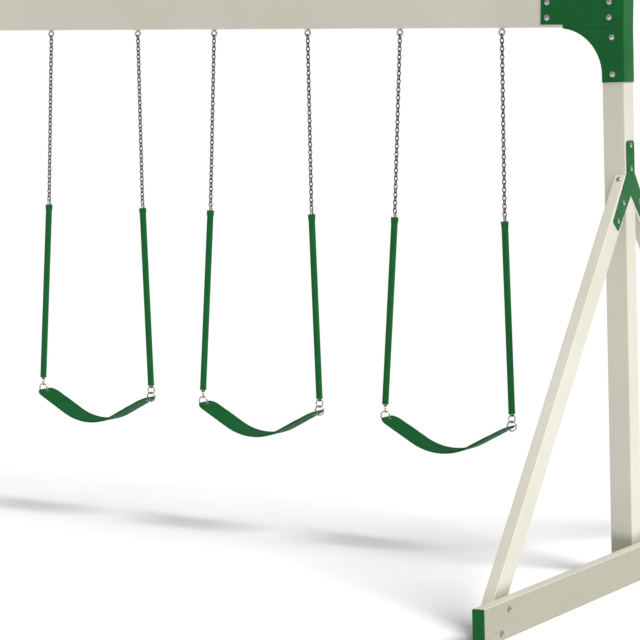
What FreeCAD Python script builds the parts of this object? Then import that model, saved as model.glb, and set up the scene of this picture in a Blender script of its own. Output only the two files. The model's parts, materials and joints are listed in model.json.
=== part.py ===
import os
from math import atan2, cos, radians, sin, sqrt, tan

from FreeCAD import Placement, Rotation, Vector
import Part

# A three-bay belt swing set: a sleeved timber beam on two leaning end frames, each of one
# post, two raked legs and a ground rail, with three chain-hung belt seats.
# Millimetres. X runs along the beam, Z is up, and the origin is on the ground under the
# middle of the beam. The right end frame is modelled and mirrored to the left.

# Beam and post
BEAM_LENGTH = 4570.0
BEAM_DEPTH = 100.0
BEAM_HEIGHT = 150.0
BEAM_BOTTOM = 2375.0
POST_WIDTH = 100.0
FRAME_LEAN = 2.0

# Legs and ground rail
LEG_THICKNESS = 50.0
LEG_WIDTH = 100.0
LEG_ANGLE = 40.0
LEG_TOP_DROP = 628.0
RAIL_THICKNESS = 50.0
RAIL_HEIGHT = 148.0
RAIL_OVERHANG = 63.0

# Vinyl sleeves over timber cores
SLEEVE_WALL = 3.5
SLEEVE_CORNER = 4.0
TIMBER_GAP = 0.5
TIMBER_LIFT = 2.0
CAP_PLATE = 6.0
CAP_PLUG_DEPTH = 24.0
CAP_PLUG_WALL = 4.0
CAP_PLUG_GAP = 0.3

# Sheet steel brackets
SHEET = 4.0
SHEET_BEND = 5.0
CORNER_REACH = 386.0
CORNER_MARGIN = 12.0
CORNER_DROP = 233.0
KNEE_REACH = 280.0
KNEE_RADIUS = 200.0
KNEE_DROP = 5.0
CREASE_WIDTH = 3.0
CREASE_DEPTH = 1.0
CREASE_MARGIN = 1.0
YOKE_TOP_DROP = 484.0
YOKE_STEM_WIDTH = 80.0
YOKE_CLIP = 12.0
YOKE_ARM_ROOT_DROP = 624.0
YOKE_CROTCH_DROP = 715.0
YOKE_ARM_LENGTH = 180.0
YOKE_ARM_END_WIDTH = 65.0

# Bolts, nuts and washers
BOLT_RADIUS = 5.0
BOLT_HEAD_RADIUS = 11.0
BOLT_HEAD_RIM = 2.0
BOLT_HEAD_HEIGHT = 6.0
BOLT_SLOT_WIDTH = 2.6
BOLT_SLOT_DEPTH = 2.2
BOLT_SLOT_TURN = 45.0
BOLT_END = 4.0
BOLT_CHAMFER = 1.0
HOLE_CLEARANCE = 0.5
NUT_FLATS = 17.0
NUT_HEIGHT = 8.0
NUT_CHAMFER = 1.0
NUT_CLEARANCE = 0.15
WASHER_RADIUS = 13.0
WASHER_THICKNESS = 2.0
LAG_RADIUS = 4.0
LAG_LENGTH = 75.0
LAG_POINT = 10.0
LAG_POINT_RADIUS = 0.5
LAG_SETBACK = 25.0

# Bolt places: from the beam's end, from its mid height, and down from its underside
BEAM_BOLT_COLUMNS = (63.0, 355.0)
BEAM_BOLT_RISE = 33.0
POST_BOLT_DROPS = (41.0, 199.0)
YOKE_STEM_BOLT_DROPS = (503.0, 603.0)
YOKE_ARM_BOLT_REACHES = (54.0, 150.0)
RAIL_BOLT_HEIGHTS = (27.0, 110.0)

# Eye bolts under the beam
HANGER_SPACING = 510.0
EYE_RADIUS = 13.0
EYE_WIRE = 4.5
EYE_WASHER_RADIUS = 16.0

# Chain: short welded links, with a longer connector link above each grip
LINK_WIRE = 2.75
LINK_INNER_LENGTH = 18.65
CONNECTOR_WIRE = 3.25
CONNECTOR_SIDE_ROOM = 2.75
CONNECTOR_INNER_LENGTH = 29.0
LINK_GAP = 0.4
EYE_GAP = 0.5
UPPER_LINKS = 44
LOWER_LINKS = 47
UPPER_SPLAY = 1.57
LOWER_SPLAY = 2.96

# Grip sleeves
GRIP_WALL = 4.0
GRIP_CHAIN_GAP = 1.5
GRIP_MOUTH_WALL = 3.5
GRIP_MOUTH_GAP = 2.5
GRIP_MOUTH_DEPTH = 18.0
GRIP_TAPER = 12.0
GRIP_COVER = 11.0
GRIP_RING_GAP = 1.5

# Rings between chain and seat
CHAIN_RING_RADIUS = 17.5
CHAIN_RING_WIRE = 3.0
CHAIN_RING_TURN = 60.0
SEAT_RING_RADIUS = 22.0
SEAT_RING_WIRE = 3.25

# Belt seat
SWING_CENTRES = {"swing_1": -502.0, "swing_2": 440.0, "swing_3": 1432.0}
SEAT_WIDTH = 150.0
SEAT_THICKNESS = 8.0
SEAT_SAG = 125.0
SEAT_END_ANGLE = 29.0
SEAT_TIP = 16.0
SEAT_CORNER = 45.0
EYELET_BORE = 8.0
EYELET_WALL = 1.2
EYELET_FLANGE = 12.0
EYELET_FLANGE_THICKNESS = 1.0
EYELET_GAP = 0.2

# Sizes that follow from the others: a link's bend clears the eye it hangs in, a connector's
# bend clears the link in it, and a grip's bore clears the chain inside it
LINK_BEND = EYE_WIRE + EYE_GAP + LINK_WIRE
LINK_OUTER_LENGTH = LINK_INNER_LENGTH + 4 * LINK_WIRE
LINK_PITCH = LINK_INNER_LENGTH - LINK_GAP
CONNECTOR_BEND = LINK_WIRE + CONNECTOR_SIDE_ROOM + CONNECTOR_WIRE
CONNECTOR_OUTER_LENGTH = CONNECTOR_INNER_LENGTH + 4 * CONNECTOR_WIRE
GRIP_BORE = LINK_BEND + LINK_WIRE + GRIP_CHAIN_GAP
GRIP_RADIUS = GRIP_BORE + GRIP_WALL
GRIP_MOUTH_BORE = CONNECTOR_BEND + CONNECTOR_WIRE + GRIP_MOUTH_GAP
GRIP_MOUTH_RADIUS = GRIP_MOUTH_BORE + GRIP_MOUTH_WALL
HALF_BEAM = BEAM_LENGTH / 2
HALF_DEPTH = BEAM_DEPTH / 2
BEAM_TOP = BEAM_BOTTOM + BEAM_HEIGHT
LEAN = radians(FRAME_LEAN)
RAKE = radians(LEG_ANGLE)

# Cutting tools: how far they pass beyond a face, how big the blocks that trim ends are, and
# how near an edge must be to a face to count as on it
CUT_PAST = 1.0
BIG = 4 * BEAM_LENGTH
NEAR = 0.01
X_AXIS = Vector(1, 0, 0)
Y_AXIS = Vector(0, 1, 0)
Z_AXIS = Vector(0, 0, 1)


# ---------------------------------------------------------------- general helpers
def save(name, solids):
    """Write one node, as one solid or as a compound of separate solids."""
    shape = solids[0] if len(solids) == 1 else Part.makeCompound(solids)
    shape.exportStep("parts/" + name + ".step")


def placed(shape, position, rotation=None):
    """A copy of a shape, turned about the origin and then moved."""
    moved = shape.copy()
    moved.Placement = Placement(position, rotation or Rotation()).multiply(shape.Placement)
    return moved


def cut_all(shape, tools):
    """Cut every tool out of a shape."""
    return shape.cut(Part.makeCompound(tools)) if tools else shape


def only_solid(shape):
    """The one solid of a boolean's result."""
    assert len(shape.Solids) == 1, "expected one solid"
    return shape.Solids[0]


def rounded_rectangle(width, height, radius):
    """A face in the XY plane, centred on the origin, with rounded corners."""
    x, y = width / 2, height / 2
    corners = ((x - radius, y - radius, 0), (radius - x, y - radius, 90),
               (radius - x, radius - y, 180), (x - radius, radius - y, 270))
    arcs = []
    for cx, cy, turn in corners:
        points = [Vector(cx + radius * cos(radians(turn + step)),
                         cy + radius * sin(radians(turn + step)), 0) for step in (0, 45, 90)]
        arcs.append(Part.Arc(*points).toShape())
    edges = []
    for index, arc in enumerate(arcs):
        following = arcs[(index + 1) % 4]
        edges.append(arc)
        edges.append(Part.makeLine(arc.valueAt(arc.LastParameter),
                                   following.valueAt(following.FirstParameter)))
    return Part.Face(Part.Wire(edges))


def bar(width, depth, length, radius):
    """A bar along +Z from the origin, centred in X and Y."""
    if radius > 0:
        return rounded_rectangle(width, depth, radius).extrude(Vector(0, 0, length))
    return Part.makeBox(width, depth, length, Vector(-width / 2, -depth / 2, 0))


def tube(width, depth, length):
    """A rectangular vinyl sleeve along +Z from the origin."""
    outer = bar(width, depth, length, SLEEVE_CORNER)
    inner = bar(width - 2 * SLEEVE_WALL, depth - 2 * SLEEVE_WALL, length, 0)
    return outer.cut(inner)


def core(width, depth, length):
    """The timber that fits the sleeve of the same outer size."""
    shrink = 2 * (SLEEVE_WALL + TIMBER_GAP)
    return bar(width - shrink, depth - shrink, length, 0)


def extruded_outline(edges, thickness_vector):
    """A flat plate from the edges of its outline."""
    return Part.Face(Part.Wire(edges)).extrude(thickness_vector)


def polygon_edges(points):
    """The edges that join a list of points."""
    return [Part.makeLine(a, b) for a, b in zip(points, points[1:])]


# ---------------------------------------------------------------- the leaning end frame
def frame_point(out, y, drop):
    """A point of the end frame: outwards from the post's outer face, across, and down from
    the beam's underside along the post. The frame leans outwards towards the ground."""
    return Vector(HALF_BEAM + out * cos(LEAN) + drop * sin(LEAN), y,
                  BEAM_BOTTOM + out * sin(LEAN) - drop * cos(LEAN))


def leaned(shape):
    """Take a shape from the upright frame, with its origin where the post's outer face meets
    the beam's underside, to its leaning place."""
    return placed(shape, Vector(HALF_BEAM, 0, BEAM_BOTTOM), Rotation(Y_AXIS, -FRAME_LEAN))


def above(shape, height):
    """Keep what is above a height."""
    block = Part.makeBox(2 * BIG, 2 * BIG, BIG, Vector(-BIG, -BIG, height - BIG))
    return shape.cut(block)


def below(shape, height):
    """Keep what is below a height."""
    block = Part.makeBox(2 * BIG, 2 * BIG, BIG, Vector(-BIG, -BIG, height))
    return shape.cut(block)


GROUND_DROP = (BEAM_BOTTOM + RAIL_THICKNESS * sin(LEAN)) / cos(LEAN)
RAIL_HALF_LENGTH = HALF_DEPTH + (GROUND_DROP - LEG_TOP_DROP) * tan(RAKE) + RAIL_OVERHANG


def along_leg(reach, across=0.0):
    """A point (y, drop) on a front leg: down along its middle line from the post's face, and
    across towards its lower edge."""
    middle_drop = LEG_TOP_DROP + LEG_WIDTH / 2 / sin(RAKE)
    y = -HALF_DEPTH - reach * sin(RAKE) + across * cos(RAKE)
    return y, middle_drop + reach * cos(RAKE) + across * sin(RAKE)


def leg_bolt_place(height):
    """The (y, drop) of a bolt on a front leg's middle line, at a height above the ground."""
    _, middle_drop = along_leg(0)
    reach = (GROUND_DROP - height - middle_drop) / cos(RAKE)
    return along_leg(reach)


def side_bolt_places():
    """Every bolt that lies along X in an end frame: y, drop, head face, nut face."""
    yoke = [(0.0, drop, SHEET, -POST_WIDTH) for drop in YOKE_STEM_BOLT_DROPS]
    rail = [(0.0, GROUND_DROP - height, RAIL_THICKNESS, -POST_WIDTH) for height in RAIL_BOLT_HEIGHTS]
    for side in (1, -1):
        for reach in YOKE_ARM_BOLT_REACHES:
            y, drop = along_leg(reach)
            yoke.append((side * y, drop, SHEET, -LEG_THICKNESS))
        for height in RAIL_BOLT_HEIGHTS:
            y, drop = leg_bolt_place(height)
            rail.append((side * y, drop, RAIL_THICKNESS, -LEG_THICKNESS))
    return {"yoke": yoke, "rail": rail}


def side_bolt_holes():
    """Clearance holes of the bolts along X, in the leaning frame."""
    holes = []
    for places in side_bolt_places().values():
        for y, drop, head, nut in places:
            start = Vector(nut - CUT_PAST, y, -drop)
            holes.append(Part.makeCylinder(BOLT_RADIUS + HOLE_CLEARANCE, head - nut + 2 * CUT_PAST,
                                           start, X_AXIS))
    return [leaned(hole) for hole in holes]


def corner_bolt_places():
    """The (x, z) of each bolt that lies along Y at the right end, in the corner bracket."""
    middle = BEAM_BOTTOM + BEAM_HEIGHT / 2
    places = [(HALF_BEAM - column, middle + rise) for column in BEAM_BOLT_COLUMNS
              for rise in (-BEAM_BOLT_RISE, BEAM_BOLT_RISE)]
    for drop in POST_BOLT_DROPS:
        point = frame_point(-POST_WIDTH / 2, 0, drop)
        places.append((point.x, point.z))
    return places


def corner_bolt_holes():
    """Clearance holes of the bolts along Y."""
    length = BEAM_DEPTH + 2 * SHEET + 2 * CUT_PAST
    return [Part.makeCylinder(BOLT_RADIUS + HOLE_CLEARANCE, length, Vector(x, -length / 2, z), Y_AXIS)
            for x, z in corner_bolt_places()]


def mirrored_y(shape):
    """The same shape on the other side of the beam."""
    return shape.mirror(Vector(), Y_AXIS)


def mirrored_x(shape):
    """The same shape at the other end of the beam."""
    return shape.mirror(Vector(), X_AXIS)


# ---------------------------------------------------------------- fasteners, along +Z
def slotted_bolt(grip):
    """A round-headed bolt. Its head stands on Z = 0 and its shank runs down past the grip,
    two washers and the nut."""
    rim = Vector(BOLT_HEAD_RADIUS, 0, BOLT_HEAD_RIM)
    crown = Vector(0, 0, BOLT_HEAD_HEIGHT)
    ball = (BOLT_HEAD_RADIUS ** 2 + (BOLT_HEAD_HEIGHT - BOLT_HEAD_RIM) ** 2) \
        / (2 * (BOLT_HEAD_HEIGHT - BOLT_HEAD_RIM))
    turn = atan2(BOLT_HEAD_RADIUS, ball - (BOLT_HEAD_HEIGHT - BOLT_HEAD_RIM)) / 2
    shoulder = Vector(ball * sin(turn), 0, BOLT_HEAD_HEIGHT - ball + ball * cos(turn))
    end = -(grip + 2 * WASHER_THICKNESS + NUT_HEIGHT + BOLT_END)
    edges = polygon_edges([crown, Vector(0, 0, end), Vector(BOLT_RADIUS - BOLT_CHAMFER, 0, end),
                           Vector(BOLT_RADIUS, 0, end + BOLT_CHAMFER), Vector(BOLT_RADIUS, 0, 0),
                           Vector(BOLT_HEAD_RADIUS, 0, 0), rim])
    edges.append(Part.Arc(rim, shoulder, crown).toShape())
    solid = Part.Face(Part.Wire(edges)).revolve(Vector(), Z_AXIS, 360)
    slot = Part.makeBox(3 * BOLT_HEAD_RADIUS, BOLT_SLOT_WIDTH, BOLT_HEAD_HEIGHT,
                        Vector(-1.5 * BOLT_HEAD_RADIUS, -BOLT_SLOT_WIDTH / 2,
                               BOLT_HEAD_HEIGHT - BOLT_SLOT_DEPTH))
    return only_solid(solid.cut(placed(slot, Vector(), Rotation(Z_AXIS, BOLT_SLOT_TURN))))


def washer(radius, bore):
    """A flat washer standing on Z = 0."""
    disc = Part.makeCylinder(radius, WASHER_THICKNESS)
    return disc.cut(Part.makeCylinder(bore + HOLE_CLEARANCE, WASHER_THICKNESS))


def hex_nut():
    """A chamfered hexagon nut standing on Z = 0."""
    corner = NUT_FLATS / 2 / cos(radians(30))
    points = [Vector(corner * cos(radians(60 * step)), corner * sin(radians(60 * step)), 0)
              for step in range(7)]
    body = extruded_outline(polygon_edges(points), Vector(0, 0, NUT_HEIGHT))
    bevel = Part.makeCone(corner + NUT_HEIGHT, corner - NUT_CHAMFER, NUT_HEIGHT + NUT_CHAMFER)
    body = body.common(bevel)
    bore = Part.makeCylinder(BOLT_RADIUS + NUT_CLEARANCE, NUT_HEIGHT + CUT_PAST)
    return only_solid(body.cut(bore))


def lag_screw():
    """A pointed wood screw with the same round head, its shank down from Z = 0."""
    head = slotted_bolt(0).common(Part.makeBox(BIG, BIG, BIG, Vector(-BIG / 2, -BIG / 2, 0)))
    shank = Part.makeCylinder(LAG_RADIUS, LAG_LENGTH - LAG_POINT, Vector(0, 0, LAG_POINT - LAG_LENGTH))
    point = Part.makeCone(LAG_POINT_RADIUS, LAG_RADIUS, LAG_POINT, Vector(0, 0, -LAG_LENGTH))
    return only_solid(head.fuse([shank, point]).removeSplitter())


def bolted(position, direction, grip):
    """A bolt with its head's washer on a face, and its nut and washer on the far face."""
    turn = Rotation(Z_AXIS, direction)
    under_head = position + direction * WASHER_THICKNESS
    far_face = position - direction * grip
    flip = Rotation(Z_AXIS, direction * -1)
    bolt = placed(slotted_bolt(grip), under_head, turn)
    small = washer(WASHER_RADIUS, BOLT_RADIUS)
    loose = [placed(small, position, turn), placed(small, far_face, flip),
             placed(hex_nut(), far_face - direction * WASHER_THICKNESS, flip)]
    return bolt, loose


# ---------------------------------------------------------------- members
def beam_parts(holes):
    """The beam's sleeve and its timber."""
    lie = Rotation(Y_AXIS, 90)
    start = Vector(-HALF_BEAM, 0, BEAM_BOTTOM + BEAM_HEIGHT / 2)
    sleeve = placed(tube(BEAM_HEIGHT, BEAM_DEPTH, BEAM_LENGTH), start, lie)
    timber = placed(core(BEAM_HEIGHT, BEAM_DEPTH, BEAM_LENGTH), start, lie)
    return only_solid(cut_all(sleeve, holes)), only_solid(cut_all(timber, holes))


def post_parts(holes):
    """The right post's sleeve and timber, cut level under the beam and on the ground."""
    spare = POST_WIDTH
    length = GROUND_DROP + 2 * spare
    start = Vector(-POST_WIDTH / 2, 0, spare - length)
    parts = []
    for shape, lift in ((tube(POST_WIDTH, BEAM_DEPTH, length), 0),
                        (core(POST_WIDTH, BEAM_DEPTH, length), TIMBER_LIFT)):
        part = leaned(placed(shape, start))
        part = below(above(part, lift), BEAM_BOTTOM)
        parts.append(only_solid(cut_all(part, holes)))
    return parts


def leg_parts(holes):
    """The right front leg's sleeve and timber, cut plumb at the post and level on the ground."""
    spare = 3 * LEG_WIDTH
    length = GROUND_DROP / cos(RAKE) + spare
    y, drop = along_leg(-spare)
    lean_back = Rotation(X_AXIS, -LEG_ANGLE)
    start = Vector(-LEG_THICKNESS / 2, y, -drop)
    behind_post_face = Part.makeBox(2 * BIG, BIG, 2 * BIG, Vector(-BIG, -HALF_DEPTH, -BIG))
    parts = []
    for shape, lift in ((tube(LEG_THICKNESS, LEG_WIDTH, length), 0),
                        (core(LEG_THICKNESS, LEG_WIDTH, length), TIMBER_LIFT)):
        hanging = placed(shape, Vector(0, 0, -length))
        swung = placed(hanging, start, lean_back).cut(behind_post_face)
        part = above(leaned(swung), lift)
        parts.append(only_solid(cut_all(part, holes)))
    return parts


def rail_parts(holes):
    """The right ground rail: sleeve, timber and two end caps."""
    length = 2 * (RAIL_HALF_LENGTH - CAP_PLATE)
    timber_length = length - 2 * (CAP_PLUG_DEPTH + TIMBER_GAP)
    lie = Rotation(X_AXIS, -90)
    middle = Vector(RAIL_THICKNESS / 2, 0, RAIL_HEIGHT / 2 - GROUND_DROP)
    sleeve = placed(tube(RAIL_THICKNESS, RAIL_HEIGHT, length), middle - Y_AXIS * (length / 2), lie)
    timber = placed(core(RAIL_THICKNESS, RAIL_HEIGHT, timber_length),
                    middle - Y_AXIS * (timber_length / 2), lie)
    cap = only_solid(above(leaned(placed(rail_cap(length / 2), middle)), 0))
    return (only_solid(cut_all(above(leaned(sleeve), 0), holes)),
            only_solid(cut_all(leaned(timber), holes)),
            [cap, mirrored_y(cap)])


def rail_cap(face):
    """One end cap about the rail's middle: a plate outside the sleeve's end at -Y, and a
    hollow plug inside it."""
    width, height = RAIL_THICKNESS, RAIL_HEIGHT
    plate = rounded_rectangle(width, height, SLEEVE_CORNER).extrude(Vector(0, 0, CAP_PLATE))
    shrink = 2 * (SLEEVE_WALL + CAP_PLUG_GAP)
    plug = bar(width - shrink, height - shrink, CAP_PLUG_DEPTH, 0)
    shrink += 2 * CAP_PLUG_WALL
    plug = plug.cut(bar(width - shrink, height - shrink, CAP_PLUG_DEPTH, 0))
    cap = plate.fuse(placed(plug, Vector(0, 0, CAP_PLATE))).removeSplitter()
    return placed(cap, Vector(0, -face - CAP_PLATE, 0), Rotation(X_AXIS, -90))


# ---------------------------------------------------------------- brackets
def corner_plate_edges():
    """The outline of the corner bracket's front plate: beam arm, curved knee, post arm."""
    top = BEAM_TOP - CORNER_MARGIN
    foot = BEAM_BOTTOM + CORNER_MARGIN
    reach = HALF_BEAM - CORNER_REACH
    knee_start = Vector(HALF_BEAM - KNEE_REACH, 0, BEAM_BOTTOM - KNEE_DROP)
    knee_end = frame_point(-POST_WIDTH, 0, KNEE_RADIUS + KNEE_DROP)
    centre = Vector(knee_end.x - KNEE_RADIUS, 0, knee_end.z)
    knee_middle = centre + Vector(1, 0, 1) * (KNEE_RADIUS / sqrt(2))
    before = [Vector(HALF_BEAM + SHEET, 0, BEAM_BOTTOM), Vector(HALF_BEAM + SHEET, 0, top),
              Vector(reach, 0, top), Vector(reach, 0, foot), Vector(knee_start.x, 0, foot), knee_start]
    after = [knee_end, frame_point(-POST_WIDTH, 0, CORNER_DROP), frame_point(SHEET, 0, CORNER_DROP),
             Vector(HALF_BEAM + SHEET, 0, BEAM_BOTTOM)]
    knee = Part.Arc(knee_start, knee_middle, knee_end).toShape()
    return polygon_edges(before) + [knee] + polygon_edges(after)


def corner_bracket(holes):
    """A bent sheet round the right corner: front plate, outer plate and back plate."""
    edges = corner_plate_edges()
    front = extruded_outline(edges, Y_AXIS * SHEET)
    front.translate(Vector(0, -HALF_DEPTH - SHEET, 0))
    top = BEAM_TOP - CORNER_MARGIN
    side = [Vector(HALF_BEAM, 0, BEAM_BOTTOM), Vector(HALF_BEAM, 0, top),
            Vector(HALF_BEAM + SHEET, 0, top), Vector(HALF_BEAM + SHEET, 0, BEAM_BOTTOM),
            frame_point(SHEET, 0, CORNER_DROP), frame_point(0, 0, CORNER_DROP),
            Vector(HALF_BEAM, 0, BEAM_BOTTOM)]
    outer = extruded_outline(polygon_edges(side), Y_AXIS * (BEAM_DEPTH + 2 * SHEET))
    outer.translate(Vector(0, -HALF_DEPTH - SHEET, 0))
    bracket = only_solid(front.fuse([outer, mirrored_y(front)]).removeSplitter())
    bracket = only_solid(bracket.makeFillet(SHEET_BEND, outer_bend_edges(bracket)))
    return only_solid(cut_all(bracket, holes + crease_cutters()))


def outer_bend_edges(bracket):
    """The long edges along the outside of the bracket's two bends."""
    found = []
    for edge in bracket.Edges:
        ends = [vertex.Point for vertex in edge.Vertexes]
        on_bend = all(abs(abs(point.y) - HALF_DEPTH - SHEET) < NEAR for point in ends)
        outside = all(point.x > HALF_BEAM + SHEET / 2 for point in ends)
        if on_bend and outside and abs(ends[0].z - ends[-1].z) > SHEET:
            found.append(edge)
    return found


def crease_cutters():
    """A shallow pressed line across the front and back plates at the beam's underside."""
    start = Vector(HALF_BEAM - KNEE_REACH - CREASE_MARGIN, -HALF_DEPTH - SHEET - CREASE_DEPTH,
                   BEAM_BOTTOM - CREASE_WIDTH)
    box = Part.makeBox(KNEE_REACH, 2 * CREASE_DEPTH, CREASE_WIDTH, start)
    return [box, mirrored_y(box)]


def yoke_outline():
    """The (y, drop) corners of the forked leg bracket's front half, from the top down."""
    half = YOKE_STEM_WIDTH / 2
    top = YOKE_TOP_DROP
    side = YOKE_ARM_END_WIDTH / 2
    outer_end = along_leg(YOKE_ARM_LENGTH, -side)
    inner_end = along_leg(YOKE_ARM_LENGTH, side)
    return [(YOKE_CLIP - half, top), (-half, top + YOKE_CLIP), (-half, YOKE_ARM_ROOT_DROP),
            outer_end, inner_end]


def yoke(holes):
    """The forked flat bracket on the outer face of the post and the legs."""
    front = yoke_outline()
    back = [(-y, drop) for y, drop in reversed(front)]
    corners = front + [(0.0, YOKE_CROTCH_DROP)] + back
    points = [Vector(0, y, -drop) for y, drop in corners]
    plate = extruded_outline(polygon_edges(points + points[:1]), X_AXIS * SHEET)
    return only_solid(cut_all(leaned(plate), holes))


# ---------------------------------------------------------------- end frame assembly
def lag_screws():
    """The screws through the upper face of each right leg into the post."""
    y, drop = along_leg(LAG_SETBACK - LEG_WIDTH / 2 / tan(RAKE), -LEG_WIDTH / 2)
    outward = Vector(0, -cos(RAKE), sin(RAKE))
    screw = placed(lag_screw(), Vector(-LEG_THICKNESS / 2, y, -drop), Rotation(Z_AXIS, outward))
    front = leaned(screw)
    return [front, mirrored_y(front)]


def lag_holes():
    """Clearance holes of the leg screws, deep enough for their points."""
    y, drop = along_leg(LAG_SETBACK - LEG_WIDTH / 2 / tan(RAKE), -LEG_WIDTH / 2)
    inward = Vector(0, cos(RAKE), -sin(RAKE))
    hole = Part.makeCylinder(LAG_RADIUS + HOLE_CLEARANCE, LAG_LENGTH + CUT_PAST,
                             Vector(-LEG_THICKNESS / 2, y, -drop), inward)
    hole = leaned(hole)
    return [hole, mirrored_y(hole)]


def side_fasteners(places):
    """Bolts along X with their nuts and washers, in the leaning frame."""
    bolts, loose = [], []
    for y, drop, head, nut in places:
        bolt, rest = bolted(Vector(head, y, -drop), X_AXIS, head - nut)
        bolts.append(leaned(bolt))
        loose.extend(leaned(piece) for piece in rest)
    return bolts, loose


def corner_fasteners():
    """Bolts along Y with their nuts and washers, heads at the front."""
    bolts, loose = [], []
    for x, z in corner_bolt_places():
        face = Vector(x, -HALF_DEPTH - SHEET, z)
        bolt, rest = bolted(face, Y_AXIS * -1, BEAM_DEPTH + 2 * SHEET)
        bolts.append(bolt)
        loose.extend(rest)
    return bolts, loose


def right_end_frame(holes):
    """Every node of the right end frame, by its name without the side."""
    post_sleeve, post_timber = post_parts(holes)
    leg_sleeve, leg_timber = leg_parts(holes)
    rail_sleeve, rail_timber, caps = rail_parts(holes)
    places = side_bolt_places()
    corner_bolts, corner_loose = corner_fasteners()
    yoke_bolts, yoke_loose = side_fasteners(places["yoke"])
    rail_bolts, rail_loose = side_fasteners(places["rail"])
    return {
        "post_sleeve": [post_sleeve],
        "post_timber": [post_timber],
        "front_leg_sleeve": [leg_sleeve],
        "back_leg_sleeve": [mirrored_y(leg_sleeve)],
        "leg_timbers": [leg_timber, mirrored_y(leg_timber)],
        "rail_sleeve": [rail_sleeve],
        "rail_timber": [rail_timber],
        "rail_end_caps": caps,
        "corner_bracket": [corner_bracket(holes)],
        "leg_bracket": [yoke(holes)],
        "corner_bolts": corner_bolts,
        "leg_bracket_and_rail_bolts": yoke_bolts + rail_bolts,
        "leg_screws": lag_screws(),
        "nuts_and_washers": corner_loose + yoke_loose + rail_loose,
    }


# ---------------------------------------------------------------- hangers and chains
def hanger_places():
    """The X of every eye bolt."""
    return [centre + side * HANGER_SPACING / 2 for centre in SWING_CENTRES.values() for side in (-1, 1)]


def eye_centre_height():
    """The height of an eye's middle, its washer between it and the beam."""
    return BEAM_BOTTOM - WASHER_THICKNESS - EYE_RADIUS - EYE_WIRE


def eye_bolt():
    """An eye bolt at X = 0, up through the beam to its nut."""
    eye = Part.makeTorus(EYE_RADIUS, EYE_WIRE, Vector(0, 0, eye_centre_height()), Y_AXIS)
    foot = eye_centre_height() + EYE_RADIUS
    top = BEAM_TOP + WASHER_THICKNESS + NUT_HEIGHT + BOLT_END
    shank = Part.makeCylinder(BOLT_RADIUS, top - foot, Vector(0, 0, foot))
    return only_solid(eye.fuse(shank).removeSplitter())


def eye_bolt_holes():
    """Clearance holes for the eye bolts' shanks."""
    return [Part.makeCylinder(BOLT_RADIUS + HOLE_CLEARANCE, BEAM_HEIGHT + 2 * CUT_PAST,
                              Vector(x, 0, BEAM_BOTTOM - CUT_PAST)) for x in hanger_places()]


def hanger_parts():
    """The eye bolts, and their nuts and washers."""
    bolts, loose = [], []
    plate = washer(EYE_WASHER_RADIUS, BOLT_RADIUS)
    for x in hanger_places():
        bolts.append(placed(eye_bolt(), Vector(x, 0, 0)))
        loose.append(placed(plate, Vector(x, 0, BEAM_BOTTOM - WASHER_THICKNESS)))
        loose.append(placed(plate, Vector(x, 0, BEAM_TOP)))
        loose.append(placed(hex_nut(), Vector(x, 0, BEAM_TOP + WASHER_THICKNESS)))
    return bolts, loose


def oval_link(bend, wire, outer_length):
    """A welded link about the origin, long in Z and lying in the XZ plane."""
    half = outer_length / 2 - wire - bend
    pieces = [Part.makeCylinder(wire, 2 * half, Vector(x, 0, -half)) for x in (-bend, bend)]
    for level in (half, -half):
        edge = Part.makeCircle(wire, Vector(bend, 0, level), Z_AXIS)
        axis = Y_AXIS if level < 0 else Y_AXIS * -1
        pieces.append(Part.Face(Part.Wire(edge)).revolve(Vector(0, 0, level), axis, 180))
    return only_solid(pieces[0].fuse(pieces[1:]).removeSplitter())


def down(side, angle, distance):
    """The way down a chain that splays outwards by an angle, as a vector."""
    return Vector(side * sin(radians(angle)), 0, -cos(radians(angle))) * distance


def hung_link(link, point, side, angle, quarter_turns):
    """A link at a point, turned about its own length and tipped with the chain."""
    tip = Rotation(Y_AXIS, -side * angle)
    return placed(link, point, tip.multiply(Rotation(Z_AXIS, 90 * quarter_turns)))


def chain(start, side, angle, count, first_turn):
    """Links hung one in the next, the first one's middle at the start."""
    link = oval_link(LINK_BEND, LINK_WIRE, LINK_OUTER_LENGTH)
    return [hung_link(link, start + down(side, angle, LINK_PITCH * index), side, angle,
                      (first_turn + index) % 2) for index in range(count)]


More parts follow.
